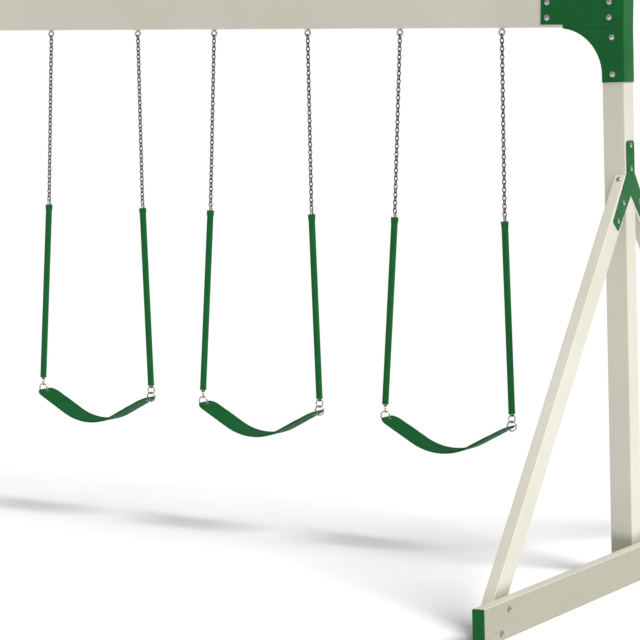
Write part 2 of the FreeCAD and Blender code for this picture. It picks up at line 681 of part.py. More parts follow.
def hanging_line(centre, side):
    """The fixed points down one side of a swing, from its eye to its seat ring."""
    wire_centre = LINK_OUTER_LENGTH / 2 - LINK_WIRE
    eye = Vector(centre + side * HANGER_SPACING / 2, 0, eye_centre_height() - EYE_RADIUS)
    first = eye + down(side, UPPER_SPLAY, wire_centre - LINK_BEND)
    upper_end = first + down(side, UPPER_SPLAY, LINK_PITCH * (UPPER_LINKS - 1) + wire_centre)
    connector_half = CONNECTOR_OUTER_LENGTH / 2 - CONNECTOR_WIRE
    overlap = LINK_WIRE + CONNECTOR_WIRE + LINK_GAP
    connector = upper_end + down(side, UPPER_SPLAY, connector_half - overlap)
    kink = connector + down(side, UPPER_SPLAY, connector_half)
    lower_first = kink + down(side, LOWER_SPLAY, wire_centre - overlap)
    lower_length = LINK_PITCH * (LOWER_LINKS - 1) + wire_centre
    ring_overlap = LINK_WIRE + CHAIN_RING_WIRE + LINK_GAP
    ring_top = lower_first + down(side, LOWER_SPLAY, lower_length - ring_overlap)
    chain_ring = ring_top - Z_AXIS * CHAIN_RING_RADIUS
    drop = CHAIN_RING_RADIUS + SEAT_RING_RADIUS - CHAIN_RING_WIRE - SEAT_RING_WIRE - LINK_GAP
    seat_ring = chain_ring - Z_AXIS * drop
    rake = radians(SEAT_END_ANGLE)
    hole = seat_ring + Vector(-side * cos(rake), 0, -sin(rake)) * SEAT_RING_RADIUS
    return {"eye": eye, "first": first, "connector": connector, "kink": kink,
            "lower_first": lower_first, "ring_top": ring_top, "chain_ring": chain_ring,
            "seat_ring": seat_ring, "hole": hole}


def grip(line, side):
    """A tubular grip over the lower chain, with a wider mouth round the connector."""
    axis = down(side, LOWER_SPLAY, 1.0)
    start = line["kink"] - axis * GRIP_COVER
    reach = line["ring_top"].z + CHAIN_RING_WIRE + GRIP_RING_GAP + GRIP_RADIUS * sin(radians(LOWER_SPLAY))
    length = (start.z - reach) / cos(radians(LOWER_SPLAY))
    taper_end = GRIP_MOUTH_DEPTH + GRIP_TAPER
    profile = [Vector(GRIP_MOUTH_BORE, 0, 0), Vector(GRIP_MOUTH_RADIUS, 0, 0),
               Vector(GRIP_MOUTH_RADIUS, 0, GRIP_MOUTH_DEPTH), Vector(GRIP_RADIUS, 0, taper_end),
               Vector(GRIP_RADIUS, 0, length), Vector(GRIP_BORE, 0, length),
               Vector(GRIP_BORE, 0, taper_end), Vector(GRIP_MOUTH_BORE, 0, GRIP_MOUTH_DEPTH),
               Vector(GRIP_MOUTH_BORE, 0, 0)]
    solid = Part.Face(Part.Wire(polygon_edges(profile))).revolve(Vector(), Z_AXIS, 360)
    return placed(solid, start, Rotation(Z_AXIS, axis))


def ring(radius, wire, centre, turn):
    """A round ring in the XZ plane, turned about the vertical."""
    return placed(Part.makeTorus(radius, wire, Vector(), Y_AXIS), centre, Rotation(Z_AXIS, turn))


# ---------------------------------------------------------------- belt seat
def belt_arc_radius(half_span):
    """The radius of the belt's middle, which meets its straight ends without a kink."""
    rake = radians(SEAT_END_ANGLE)
    return (half_span * tan(rake) - SEAT_SAG) * cos(rake) / (1 - cos(rake))


def belt_side(half_span, offset):
    """Edges of one face of the belt, left tip to right tip, offset from its middle surface.
    The lowest point of the middle surface is the origin."""
    rake = radians(SEAT_END_ANGLE)
    radius = belt_arc_radius(half_span) - offset
    centre = Vector(0, 0, belt_arc_radius(half_span))
    right = centre + Vector(sin(rake), 0, -cos(rake)) * radius
    straight = (half_span - belt_arc_radius(half_span) * sin(rake)) / cos(rake) + SEAT_TIP
    tip = right + Vector(cos(rake), 0, sin(rake)) * straight
    left, left_tip = Vector(-right.x, 0, right.z), Vector(-tip.x, 0, tip.z)
    bottom = centre - Z_AXIS * radius
    return [Part.makeLine(left_tip, left), Part.Arc(left, bottom, right).toShape(),
            Part.makeLine(right, tip)]


def belt(half_span, centre, low):
    """The belt: a curved strap with straight raised ends, rounded corners and two holes."""
    upper = belt_side(half_span, SEAT_THICKNESS / 2)
    lower = belt_side(half_span, -SEAT_THICKNESS / 2)
    ends = [Part.makeLine(upper[0].valueAt(upper[0].FirstParameter),
                          lower[0].valueAt(lower[0].FirstParameter)),
            Part.makeLine(upper[2].valueAt(upper[2].LastParameter),
                          lower[2].valueAt(lower[2].LastParameter))]
    outline = Part.Wire(Part.sortEdges(upper + lower + ends)[0])
    strap = Part.Face(outline).extrude(Y_AXIS * SEAT_WIDTH)
    strap.translate(Vector(0, -SEAT_WIDTH / 2, 0))
    tools = []
    for side in (-1, 1):
        hole = Vector(side * half_span, 0, SEAT_SAG)
        tools.append(placed(Part.makeCylinder(EYELET_BORE + EYELET_WALL + EYELET_GAP,
                                              4 * SEAT_THICKNESS,
                                              Vector(0, 0, -2 * SEAT_THICKNESS)),
                            hole, end_turn(side)))
        tools.extend(placed(cutter, hole, end_turn(side)) for cutter in corner_cutters(side))
    strap = only_solid(strap.cut(tools))
    strap.translate(Vector(centre, 0, low))
    return strap


def end_turn(side):
    """From flat to the slope of a belt's end."""
    return Rotation(Y_AXIS, -side * SEAT_END_ANGLE)


def corner_cutters(side):
    """What rounds the two corners of a belt's end, about its hole, before it is tipped."""
    cutters = []
    for across in (-1, 1):
        block = Part.makeBox(SEAT_CORNER, SEAT_CORNER, 4 * SEAT_THICKNESS)
        block = block.cut(Part.makeCylinder(SEAT_CORNER, 4 * SEAT_THICKNESS))
        turn = {(1, 1): 0, (-1, 1): 90, (-1, -1): 180, (1, -1): 270}[(side, across)]
        corner = Vector(side * (SEAT_TIP - SEAT_CORNER), across * (SEAT_WIDTH / 2 - SEAT_CORNER),
                        -2 * SEAT_THICKNESS)
        cutters.append(placed(block, corner, Rotation(Z_AXIS, turn)))
    return cutters


def eyelet(side, hole):
    """A flanged steel eyelet that lines a belt's hole."""
    half = SEAT_THICKNESS / 2
    outer = EYELET_BORE + EYELET_WALL
    body = Part.makeCylinder(outer, 2 * half, Vector(0, 0, -half))
    flanges = [Part.makeCylinder(EYELET_FLANGE, EYELET_FLANGE_THICKNESS, Vector(0, 0, level))
               for level in (half, -half - EYELET_FLANGE_THICKNESS)]
    solid = body.fuse(flanges).removeSplitter()
    bore = Part.makeCylinder(EYELET_BORE, 4 * half, Vector(0, 0, -2 * half))
    return placed(only_solid(solid.cut(bore)), hole, end_turn(side))


def swing_parts(centre):
    """Every node of one swing, by its name without the swing's."""
    lines = {side: hanging_line(centre, side) for side in (-1, 1)}
    connector = oval_link(CONNECTOR_BEND, CONNECTOR_WIRE, CONNECTOR_OUTER_LENGTH)
    nodes = {"upper_chains": [], "connector_links": [], "lower_chains": [],
             "chain_rings": [], "seat_rings": [], "seat_eyelets": []}
    for side, line in lines.items():
        nodes["upper_chains"] += chain(line["first"], side, UPPER_SPLAY, UPPER_LINKS, 1)
        turn = (1 + UPPER_LINKS) % 2
        nodes["connector_links"].append(hung_link(connector, line["connector"], side, UPPER_SPLAY, turn))
        nodes["lower_chains"] += chain(line["lower_first"], side, LOWER_SPLAY, LOWER_LINKS, turn + 1)
        nodes["chain_rings"].append(ring(CHAIN_RING_RADIUS, CHAIN_RING_WIRE, line["chain_ring"],
                                         side * CHAIN_RING_TURN))
        nodes["seat_rings"].append(ring(SEAT_RING_RADIUS, SEAT_RING_WIRE, line["seat_ring"], 0))
        nodes["seat_eyelets"].append(eyelet(side, line["hole"]))
    nodes["left_grip"] = [grip(lines[-1], -1)]
    nodes["right_grip"] = [grip(lines[1], 1)]
    half_span = lines[1]["hole"].x - centre
    nodes["seat"] = [belt(half_span, centre, lines[1]["hole"].z - SEAT_SAG)]
    return nodes


# ---------------------------------------------------------------- build
def main():
    """Build every node and write it."""
    os.makedirs("parts", exist_ok=True)
    right_holes = corner_bolt_holes() + side_bolt_holes() + lag_holes()
    left_holes = [mirrored_x(hole) for hole in right_holes]
    beam_sleeve, beam_timber = beam_parts(right_holes + left_holes + eye_bolt_holes())
    save("beam_sleeve", [beam_sleeve])
    save("beam_timber", [beam_timber])
    for name, solids in right_end_frame(right_holes).items():
        save("right_" + name, solids)
        save("left_" + name, [mirrored_x(solid) for solid in solids])
    eye_bolts, eye_nuts = hanger_parts()
    save("eye_bolts", eye_bolts)
    save("eye_bolt_nuts_and_washers", eye_nuts)
    for swing, centre in SWING_CENTRES.items():
        for name, solids in swing_parts(centre).items():
            save(swing + "_" + name, solids)


main()
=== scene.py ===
"""Dresses the three-bay belt swing set: vinyl-sleeved timber, green steel, chain and belts.

Metres throughout. X runs along the beam, Z is up, and the ground is Z = 0.
"""

import json
import logging
from dataclasses import dataclass, field
from enum import Enum
from math import cos, pi, radians, sin, tan
from typing import ClassVar

import bmesh
import bpy
import numpy as np
from mathutils import Matrix, Vector

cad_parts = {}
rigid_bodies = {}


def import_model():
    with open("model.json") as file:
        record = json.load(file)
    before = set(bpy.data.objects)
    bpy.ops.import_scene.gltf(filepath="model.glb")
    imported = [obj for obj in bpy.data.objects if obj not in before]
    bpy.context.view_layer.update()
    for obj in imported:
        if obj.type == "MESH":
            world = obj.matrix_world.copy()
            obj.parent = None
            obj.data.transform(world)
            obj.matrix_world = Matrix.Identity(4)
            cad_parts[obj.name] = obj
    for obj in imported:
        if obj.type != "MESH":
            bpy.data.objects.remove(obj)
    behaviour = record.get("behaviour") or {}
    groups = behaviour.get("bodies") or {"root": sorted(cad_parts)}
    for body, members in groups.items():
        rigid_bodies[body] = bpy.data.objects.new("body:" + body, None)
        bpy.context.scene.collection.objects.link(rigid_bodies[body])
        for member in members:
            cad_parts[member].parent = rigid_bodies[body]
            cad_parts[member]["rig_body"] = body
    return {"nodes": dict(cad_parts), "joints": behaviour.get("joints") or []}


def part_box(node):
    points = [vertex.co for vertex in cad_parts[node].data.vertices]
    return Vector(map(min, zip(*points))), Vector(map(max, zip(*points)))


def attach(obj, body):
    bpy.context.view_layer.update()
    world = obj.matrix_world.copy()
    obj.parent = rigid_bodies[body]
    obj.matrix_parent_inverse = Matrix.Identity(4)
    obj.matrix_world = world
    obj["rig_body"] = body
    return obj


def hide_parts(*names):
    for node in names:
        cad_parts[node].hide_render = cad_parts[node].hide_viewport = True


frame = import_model()

LOG = logging.getLogger("swing_set")
MM = 0.001
FRAME_BODY = "frame"
SIDES = (-1, 1)
SIDE_NAMES = {-1: "left", 1: "right"}
SWINGS = ("swing_1", "swing_2", "swing_3")
SHARP_ANGLE = 40.0
QUARTER_TURN = 90.0
ON_AXIS = 1e-5
NO_LENGTH = 1e-9
NO_AREA = 1e-7
ALONG_Y = np.array([0.0, 1.0, 0.0])


# ---------------------------------------------------------------- colours and nodes
def linear(hex_colour: str) -> tuple[float, float, float, float]:
    """Turn an sRGB hex colour to linear: each channel c becomes c / 12.92 when it is small,
    and ((c + 0.055) / 1.055) to the power 2.4 otherwise.

    Args:
        hex_colour: Six hex digits after a hash.

    Returns:
        Linear red, green and blue, and an alpha of 1.
    """
    channels = [int(hex_colour[start:start + 2], 16) / 255 for start in (1, 3, 5)]
    red, green, blue = (c / 12.92 if c <= 0.04045 else ((c + 0.055) / 1.055) ** 2.4
                        for c in channels)
    return red, green, blue, 1.0


def per_metre(millimetres: float) -> float:
    """How many features of a size in millimetres fit in a metre: a texture's scale."""
    return 1000.0 / millimetres


def add_node(tree: bpy.types.NodeTree, kind: str,
             sockets: dict[str | int, object] | None = None,
             **settings: object) -> bpy.types.Node:
    """Add a node, set it up and link it.

    Args:
        tree: The node tree it goes into.
        kind: The node's type name.
        sockets: By socket name or number, a value, or the output to link from.
        **settings: The node's own options.

    Returns:
        The new node.
    """
    node = tree.nodes.new(kind)
    for name, value in settings.items():
        setattr(node, name, value)
    for key, value in (sockets or {}).items():
        if isinstance(value, bpy.types.NodeSocket):
            tree.links.new(value, node.inputs[key])
        else:
            node.inputs[key].default_value = value
    return node


# ---------------------------------------------------------------- finishes
@dataclass(frozen=True)
class Finish:
    """What every finish has: a name, two tones, a gloss, and a pattern of its own. The
    sizes, lengths, spacings, depths and reaches of a pattern are in millimetres, and its
    heights above the ground in metres.

    Attributes:
        name: The real material and how its surface was made.
        slot: The record's material slot; not used.
        tone: Main colour.
        second_tone: What the main colour drifts to.
        roughness: 0 is a mirror, 1 is chalk.
        metallic: 1 for bare metal.
        ior: Refractive index of a plastic, timber or paint.
        specular: How strong its plain reflection is; 0.5 is what the index alone gives.
        coat: Weight of a clear outer gloss.
        coat_roughness: How dull that gloss is.
        crease_shade_samples: Rays that test how enclosed a point is, for the painted shade in
            creases.
        crease_shade_range: The openness that takes the full painted shade, and the one that
            takes none.
    """

    name: str
    slot: str
    tone: str
    second_tone: str
    roughness: float
    metallic: float = 0.0
    ior: float = 1.5
    specular: float = 0.5
    coat: float = 0.0
    coat_roughness: float = 0.1
    crease_shade_samples: ClassVar[int] = 6
    crease_shade_range: ClassVar[tuple[float, float]] = (0.35, 0.85)

    def build(self) -> bpy.types.Material:
        """Make the material.

        Returns:
            The new material, its pattern linked in.
        """
        material = bpy.data.materials.new(self.name)
        material.use_nodes = True
        material.diffuse_color = linear(self.tone)
        tree = material.node_tree
        tree.nodes.clear()
        shader = add_node(tree, "ShaderNodeBsdfPrincipled", {
            "Base Color": linear(self.tone), "Metallic": self.metallic,
            "Roughness": self.roughness, "IOR": self.ior,
            "Specular IOR Level": self.specular, "Coat Weight": self.coat,
            "Coat Roughness": self.coat_roughness})
        add_node(tree, "ShaderNodeOutputMaterial", {"Surface": shader.outputs[0]})
        self.pattern(tree, shader)
        return material

    def pattern(self, tree: bpy.types.NodeTree, shader: bpy.types.Node) -> None:
        """Link the finish's own pattern into the shader; each finish gives its own."""
        raise NotImplementedError

    def two_tones(self, tree: bpy.types.NodeTree, amount: bpy.types.NodeSocket,
                  least: float = 0.35, most: float = 0.65) -> bpy.types.NodeSocket:
        """Mix the two tones.

        Args:
            tree: The node tree.
            amount: A pattern from 0 to 1.
            least: The pattern's value that gives the main tone.
            most: The pattern's value that gives the second tone.

        Returns:
            The mixed colour.
        """
        share = add_node(tree, "ShaderNodeMapRange",
                         {"Value": amount, "From Min": least, "From Max": most})
        mixed = add_node(tree, "ShaderNodeMix",
                         {0: share.outputs[0], 6: linear(self.tone),
                          7: linear(self.second_tone)}, data_type="RGBA")
        return mixed.outputs[2]

    def painted_crease_shade(self, tree: bpy.types.NodeTree, colour: bpy.types.NodeSocket, crease_shade: str,
               reach: float) -> bpy.types.NodeSocket:
        """Paint shade into the colour where the surface is enclosed: slots, seams, and round
        whatever stands on the surface. How enclosed a point is within the reach gives the share
        of painted shade.

        Args:
            tree: The node tree.
            colour: The colour without painted shade.
            crease_shade: The colour of the painted shade.
            reach: How far an enclosing surface counts, in millimetres.

        Returns:
            The colour with painted shade in its creases.
        """
        full, none = self.crease_shade_range
        # painted shade: ambient occlusion darkens the colour in creases, slots and round bolt
        # heads
        enclosed = add_node(tree, "ShaderNodeAmbientOcclusion", {"Distance": reach * MM},
                            samples=self.crease_shade_samples)
        share = add_node(tree, "ShaderNodeMapRange", {
            "Value": enclosed.outputs["AO"], "From Min": full, "From Max": none})
        mixed = add_node(tree, "ShaderNodeMix", {
            0: share.outputs[0], 6: linear(crease_shade), 7: colour}, data_type="RGBA")
        return mixed.outputs[2]

    def gloss(self, tree: bpy.types.NodeTree, shader: bpy.types.Node,
              amount: bpy.types.NodeSocket, spread: float) -> None:
        """Let the roughness vary either side of its own value, over the middle half of the
        pattern.

        Args:
            tree: The node tree.
            shader: The shader it goes to.
            amount: A pattern from 0 to 1.
            spread: Half the difference between the dullest and the glossiest place.
        """
        rough = add_node(tree, "ShaderNodeMapRange", {
            "Value": amount, "From Min": 0.25, "From Max": 0.75,
            "To Min": self.roughness - spread, "To Max": self.roughness + spread})
        tree.links.new(rough.outputs[0], shader.inputs["Roughness"])


@dataclass(frozen=True)
class ExtrudedVinyl(Finish):
    """Outdoor PVC, extruded as a square sleeve: a satin skin and long faint die lines. Near
    the ground its upright faces take a patchy khaki painted shade, which level faces don't
    take. It gives the eye a clean warm white that has length, and a ground rail that is
    darker on its sides than on top from that painted shade.

    Attributes:
        line_spacing: From one die line to the next.
        line_length: How far a die line runs.
        peel_size: Size of the skin's orange peel.
        cloud_size: Size of the drift of tone.
        line_depth: Depth of the die lines.
        peel_depth: Depth of the orange peel.
        gloss_spread: How far the roughness goes either side of its own value.
        side_shade: Colour of the painted shade on upright faces near the ground.
        side_shade_height: How high up the painted shade ends.
        side_shade_fade: The height over which it fades out.
        side_shade_most: Its share of the colour low down.
        speckle_size: Size of the painted shade's blotches.
        speckle_least: The share of the painted shade in its thinnest blotch.
        upright_below: How far up a face may look and still take all the painted shade.
        level_above: How far up it has to look to take none.
    """

    line_spacing: float = 5.0
    line_length: float = 900.0
    peel_size: float = 4.0
    cloud_size: float = 420.0
    line_depth: float = 0.25
    peel_depth: float = 0.06
    gloss_spread: float = 0.06
    side_shade: str = "#94937e"
    side_shade_height: float = 0.21
    side_shade_fade: float = 0.06
    side_shade_most: float = 0.8
    speckle_size: float = 28.0
    speckle_least: float = 0.85
    upright_below: float = 0.3
    level_above: float = 0.7

    def pattern(self, tree: bpy.types.NodeTree, shader: bpy.types.Node) -> None:
        """Die lines along the length, orange peel, a slow drift of tone, and painted shade on
        upright faces low down.

        Args:
            tree: The node tree.
            shader: The shader that the pattern is linked to.
        """
        place = add_node(tree, "ShaderNodeTexCoord")
        stretched = add_node(tree, "ShaderNodeMapping", {
            "Vector": place.outputs["UV"],
            "Scale": (per_metre(self.line_length), per_metre(self.line_spacing), 1.0)})
        lines = add_node(tree, "ShaderNodeTexNoise",
                         {"Vector": stretched.outputs[0], "Scale": 1.0, "Detail": 3.0})
        peel = add_node(tree, "ShaderNodeTexNoise", {
            "Vector": place.outputs["Object"], "Scale": per_metre(self.peel_size),
            "Detail": 1.0})
        cloud = add_node(tree, "ShaderNodeTexNoise", {
            "Vector": place.outputs["Object"], "Scale": per_metre(self.cloud_size),
            "Detail": 4.0})
        height = add_node(tree, "ShaderNodeSeparateXYZ", {"Vector": place.outputs["Object"]})
        # painted shade: khaki on upright faces near the ground, none on level faces
        low = add_node(tree, "ShaderNodeMapRange", {
            "Value": height.outputs["Z"], "From Min": self.side_shade_height - self.side_shade_fade,
            "From Max": self.side_shade_height, "To Min": self.side_shade_most, "To Max": 0.0},
            interpolation_type="SMOOTHSTEP")
        facing = add_node(tree, "ShaderNodeSeparateXYZ", {"Vector": place.outputs["Normal"]})
        upright = add_node(tree, "ShaderNodeMapRange", {
            "Value": facing.outputs["Z"], "From Min": self.upright_below,
            "From Max": self.level_above, "To Min": 1.0, "To Max": 0.0})
        speckle = add_node(tree, "ShaderNodeTexNoise", {
            "Vector": place.outputs["Object"], "Scale": per_metre(self.speckle_size),
            "Detail": 6.0, "Roughness": 0.7})
        patchy = add_node(tree, "ShaderNodeMapRange", {
            "Value": speckle.outputs["Fac"], "From Min": 0.3, "From Max": 0.7,
            "To Min": self.speckle_least, "To Max": 1.0})
        held = add_node(tree, "ShaderNodeMath",
                        {0: low.outputs[0], 1: upright.outputs[0]}, operation="MULTIPLY")
        shade_film = add_node(tree, "ShaderNodeMath",
                        {0: held.outputs[0], 1: patchy.outputs[0]}, operation="MULTIPLY")
        # mix the painted shade into the vinyl's colour
        side_shaded = add_node(tree, "ShaderNodeMix", {
            0: shade_film.outputs[0], 6: self.two_tones(tree, cloud.outputs["Fac"]),
            7: linear(self.side_shade)}, data_type="RGBA")
        fine = add_node(tree, "ShaderNodeBump", {
            "Height": peel.outputs["Fac"], "Distance": self.peel_depth * MM, "Strength": 0.5})
        drawn = add_node(tree, "ShaderNodeBump", {
            "Height": lines.outputs["Fac"], "Distance": self.line_depth * MM, "Strength": 0.5,
            "Normal": fine.outputs[0]})
        tree.links.new(side_shaded.outputs[2], shader.inputs["Base Color"])
        tree.links.new(drawn.outputs[0], shader.inputs["Normal"])
        self.gloss(tree, shader, lines.outputs["Fac"], self.gloss_spread)


@dataclass(frozen=True)
class SawnPine(Finish):
    """Pressure-treated pine, sawn: straw and tan bands of growth along the length, and the
    marks of the saw across it.

    Attributes:
        ring_spacing: From one growth band to the next.
        ring_length: How far a band runs.
        saw_spacing: From one saw mark to the next.
        saw_length: How far a saw mark runs.
        saw_depth: Depth of the saw marks.
        gloss_spread: How far the roughness goes either side of its own value.
    """

    ring_spacing: float = 7.0
    ring_length: float = 600.0
    saw_spacing: float = 5.0
    saw_length: float = 60.0
    saw_depth: float = 0.4
    gloss_spread: float = 0.08

    def pattern(self, tree: bpy.types.NodeTree, shader: bpy.types.Node) -> None:
        """Growth bands drawn out along the length, and saw marks across it.

        Args:
            tree: The node tree.
            shader: The shader that the pattern is linked to.
        """
        place = add_node(tree, "ShaderNodeTexCoord")
        stretched = add_node(tree, "ShaderNodeMapping", {
            "Vector": place.outputs["UV"],
            "Scale": (per_metre(self.ring_length), per_metre(self.ring_spacing), 1.0)})
        bands = add_node(tree, "ShaderNodeTexNoise", {
            "Vector": stretched.outputs[0], "Scale": 1.0, "Detail": 4.0, "Distortion": 0.4})
        across = add_node(tree, "ShaderNodeMapping", {
            "Vector": place.outputs["UV"],
            "Scale": (per_metre(self.saw_spacing), per_metre(self.saw_length), 1.0)})
        marks = add_node(tree, "ShaderNodeTexNoise",
                         {"Vector": across.outputs[0], "Scale": 1.0, "Detail": 2.0})
        bump = add_node(tree, "ShaderNodeBump", {
            "Height": marks.outputs["Fac"], "Distance": self.saw_depth * MM, "Strength": 0.7})
        tree.links.new(self.two_tones(tree, bands.outputs["Fac"]), shader.inputs["Base Color"])
        tree.links.new(bump.outputs[0], shader.inputs["Normal"])
        self.gloss(tree, shader, bands.outputs["Fac"], self.gloss_spread)


@dataclass(frozen=True)
class PowderCoatedSteel(Finish):
    """Bent steel sheet under a baked polyester powder coat: an even green with the fine
    orange peel of melted powder, a soft gloss, and paler, thinner paint along its edges.

    Attributes:
        peel_size: Size of the orange peel.
        cloud_size: Size of the drift of tone.
        peel_depth: Depth of the orange peel.
        gloss_spread: How far the roughness goes either side of its own value.
        worn_edge: Colour of the thin paint on an edge.
        worn_from: How pointed an edge is where the thin paint starts to show.
        worn_to: How pointed it is where it shows most.
        worn_most: The share of the edge's colour there.
        crease_shade: Colour of the painted shade in creases and slots.
        crease_shade_reach: How far an enclosing surface counts for the painted shade.
    """

    peel_size: float = 2.6
    cloud_size: float = 120.0
    peel_depth: float = 0.08
    gloss_spread: float = 0.07
    worn_edge: str = "#3a7a57"
    worn_from: float = 0.54
    worn_to: float = 0.68
    worn_most: float = 0.5
    crease_shade: str = "#04240f"
    crease_shade_reach: float = 7.0

    def pattern(self, tree: bpy.types.NodeTree, shader: bpy.types.Node) -> None:
        """Orange peel, drawn about twice its real size so that it shows, pale edges, and
        painted shade in creases.

        Args:
            tree: The node tree.
            shader: The shader that the pattern is linked to.
        """
        place = add_node(tree, "ShaderNodeTexCoord")
        peel = add_node(tree, "ShaderNodeTexNoise", {
            "Vector": place.outputs["Object"], "Scale": per_metre(self.peel_size),
            "Detail": 1.5})
        cloud = add_node(tree, "ShaderNodeTexNoise", {
            "Vector": place.outputs["Object"], "Scale": per_metre(self.cloud_size),
            "Detail": 5.0, "Roughness": 0.6})
        shape = add_node(tree, "ShaderNodeNewGeometry")
        edge = add_node(tree, "ShaderNodeMapRange", {
            "Value": shape.outputs["Pointiness"], "From Min": self.worn_from,
            "From Max": self.worn_to, "To Min": 0.0, "To Max": self.worn_most})
        worn = add_node(tree, "ShaderNodeMix", {
            0: edge.outputs[0], 6: self.two_tones(tree, cloud.outputs["Fac"]),
            7: linear(self.worn_edge)}, data_type="RGBA")
        bump = add_node(tree, "ShaderNodeBump", {
            "Height": peel.outputs["Fac"], "Distance": self.peel_depth * MM, "Strength": 0.6})
        # painted shade: the green darkens in creases and round whatever stands on it
        tree.links.new(self.painted_crease_shade(tree, worn.outputs[2], self.crease_shade, self.crease_shade_reach),
                       shader.inputs["Base Color"])
        tree.links.new(bump.outputs[0], shader.inputs["Normal"])
        self.gloss(tree, shader, cloud.outputs["Fac"], self.gloss_spread)


@dataclass(frozen=True)
class MouldedPlastic(Finish):
    """Injection-moulded polypropylene: an even green with the fine grain that a spark-eroded
    mould leaves, duller than the steel's paint.

    Attributes:
        grain_size: Size of the grain.
        cloud_size: Size of the drift of tone.
        grain_depth: Depth of the grain.
        gloss_spread: How far the roughness goes either side of its own value.
    """

    grain_size: float = 1.4
    cloud_size: float = 60.0
    grain_depth: float = 0.1
    gloss_spread: float = 0.06

    def pattern(self, tree: bpy.types.NodeTree, shader: bpy.types.Node) -> None:
        """The mould's grain, drawn coarser than life so that it shows, and a slow drift.

        Args:
            tree: The node tree.
            shader: The shader that the pattern is linked to.
        """
        place = add_node(tree, "ShaderNodeTexCoord")
        grain = add_node(tree, "ShaderNodeTexNoise", {
            "Vector": place.outputs["Object"], "Scale": per_metre(self.grain_size),
            "Detail": 2.0})
        cloud = add_node(tree, "ShaderNodeTexNoise", {
            "Vector": place.outputs["Object"], "Scale": per_metre(self.cloud_size),
            "Detail": 3.0})
        bump = add_node(tree, "ShaderNodeBump", {
            "Height": grain.outputs["Fac"], "Distance": self.grain_depth * MM,
            "Strength": 0.6})
        tree.links.new(self.two_tones(tree, cloud.outputs["Fac"]), shader.inputs["Base Color"])
        tree.links.new(bump.outputs[0], shader.inputs["Normal"])
        self.gloss(tree, shader, grain.outputs["Fac"], self.gloss_spread)


@dataclass(frozen=True)
class SoftVinyl(Finish):
    """Plastisol: soft PVC that steel or chain is dipped or sleeved in. It has a waxy gloss,
    slack ripples across its length, and a duller, dusty bloom in patches.

    Attributes:
        ripple_length: From one ripple to the next down the sleeve.
        ripple_width: How far a ripple runs round it.
        bloom_size: Size of the dusty patches.
        ripple_depth: Depth of the ripples.
        gloss_spread: How far the roughness goes either side of its own value.
    """

    ripple_length: float = 26.0
    ripple_width: float = 90.0
    bloom_size: float = 45.0
    ripple_depth: float = 0.9
    gloss_spread: float = 0.1

    def pattern(self, tree: bpy.types.NodeTree, shader: bpy.types.Node) -> None:
        """Ripples across an upright sleeve, and a bloom in patches.

        Args:
            tree: The node tree.
            shader: The shader that the pattern is linked to.
        """
        place = add_node(tree, "ShaderNodeTexCoord")
        flat = add_node(tree, "ShaderNodeMapping", {
            "Vector": place.outputs["Object"],
            "Scale": (per_metre(self.ripple_width), per_metre(self.ripple_width),
                      per_metre(self.ripple_length))})
        ripple = add_node(tree, "ShaderNodeTexNoise",
                          {"Vector": flat.outputs[0], "Scale": 1.0, "Detail": 2.0})
        bloom = add_node(tree, "ShaderNodeTexNoise", {
            "Vector": place.outputs["Object"], "Scale": per_metre(self.bloom_size),
            "Detail": 6.0, "Roughness": 0.65})
        bump = add_node(tree, "ShaderNodeBump", {
            "Height": ripple.outputs["Fac"], "Distance": self.ripple_depth * MM,
            "Strength": 0.6})
        tree.links.new(self.two_tones(tree, bloom.outputs["Fac"]), shader.inputs["Base Color"])
        tree.links.new(bump.outputs[0], shader.inputs["Normal"])
        self.gloss(tree, shader, bloom.outputs["Fac"], self.gloss_spread)


@dataclass(frozen=True)
class MouldedRubber(Finish):
    """Moulded rubber belting: a matt green with a pebbled skin that keeps a seat from being
    slippery, scuffed paler where people sit.

    Attributes:
        pebble_size: Size of a pebble.
        scuff_size: Size of the mottle.
        scuff: Colour of the scuffs.
        scuff_from: The height of the belt's lowest part.
        scuff_reach: How far up from there the scuffs fade out.
        scuff_most: Their share of the colour at the bottom.
        pebble_depth: Depth between pebbles.
        gloss_spread: How far the roughness goes either side of its own value.
    """

    pebble_size: float = 2.4
    scuff_size: float = 70.0
    scuff: str = "#1f5f3c"
    scuff_from: float = 0.475
    scuff_reach: float = 0.08
    scuff_most: float = 0.55
    pebble_depth: float = 0.35
    gloss_spread: float = 0.08

    def pattern(self, tree: bpy.types.NodeTree, shader: bpy.types.Node) -> None:
        """Pebbles from cell distance, and scuffs that fade out up the belt's ends.

        Args:
            tree: The node tree.
            shader: The shader that the pattern is linked to.
        """
        place = add_node(tree, "ShaderNodeTexCoord")
        pebble = add_node(tree, "ShaderNodeTexVoronoi", {
            "Vector": place.outputs["Object"], "Scale": per_metre(self.pebble_size)},
            feature="SMOOTH_F1")
        mottle = add_node(tree, "ShaderNodeTexNoise", {
            "Vector": place.outputs["Object"], "Scale": per_metre(self.scuff_size),
            "Detail": 7.0, "Roughness": 0.7})
        height = add_node(tree, "ShaderNodeSeparateXYZ", {"Vector": place.outputs["Object"]})
        low = add_node(tree, "ShaderNodeMapRange", {
            "Value": height.outputs["Z"], "From Min": self.scuff_from,
            "From Max": self.scuff_from + self.scuff_reach, "To Min": self.scuff_most,
            "To Max": 0.0})
        share = add_node(tree, "ShaderNodeMath",
                         {0: low.outputs[0], 1: mottle.outputs["Fac"]}, operation="MULTIPLY")
        scuffed = add_node(tree, "ShaderNodeMix", {
            0: share.outputs[0], 6: self.two_tones(tree, mottle.outputs["Fac"]),
            7: linear(self.scuff)}, data_type="RGBA")
        bump = add_node(tree, "ShaderNodeBump", {
            "Height": pebble.outputs["Distance"], "Distance": self.pebble_depth * MM,
            "Strength": 0.6}, invert=True)
        tree.links.new(scuffed.outputs[2], shader.inputs["Base Color"])
        tree.links.new(bump.outputs[0], shader.inputs["Normal"])
        self.gloss(tree, shader, mottle.outputs["Fac"], self.gloss_spread)


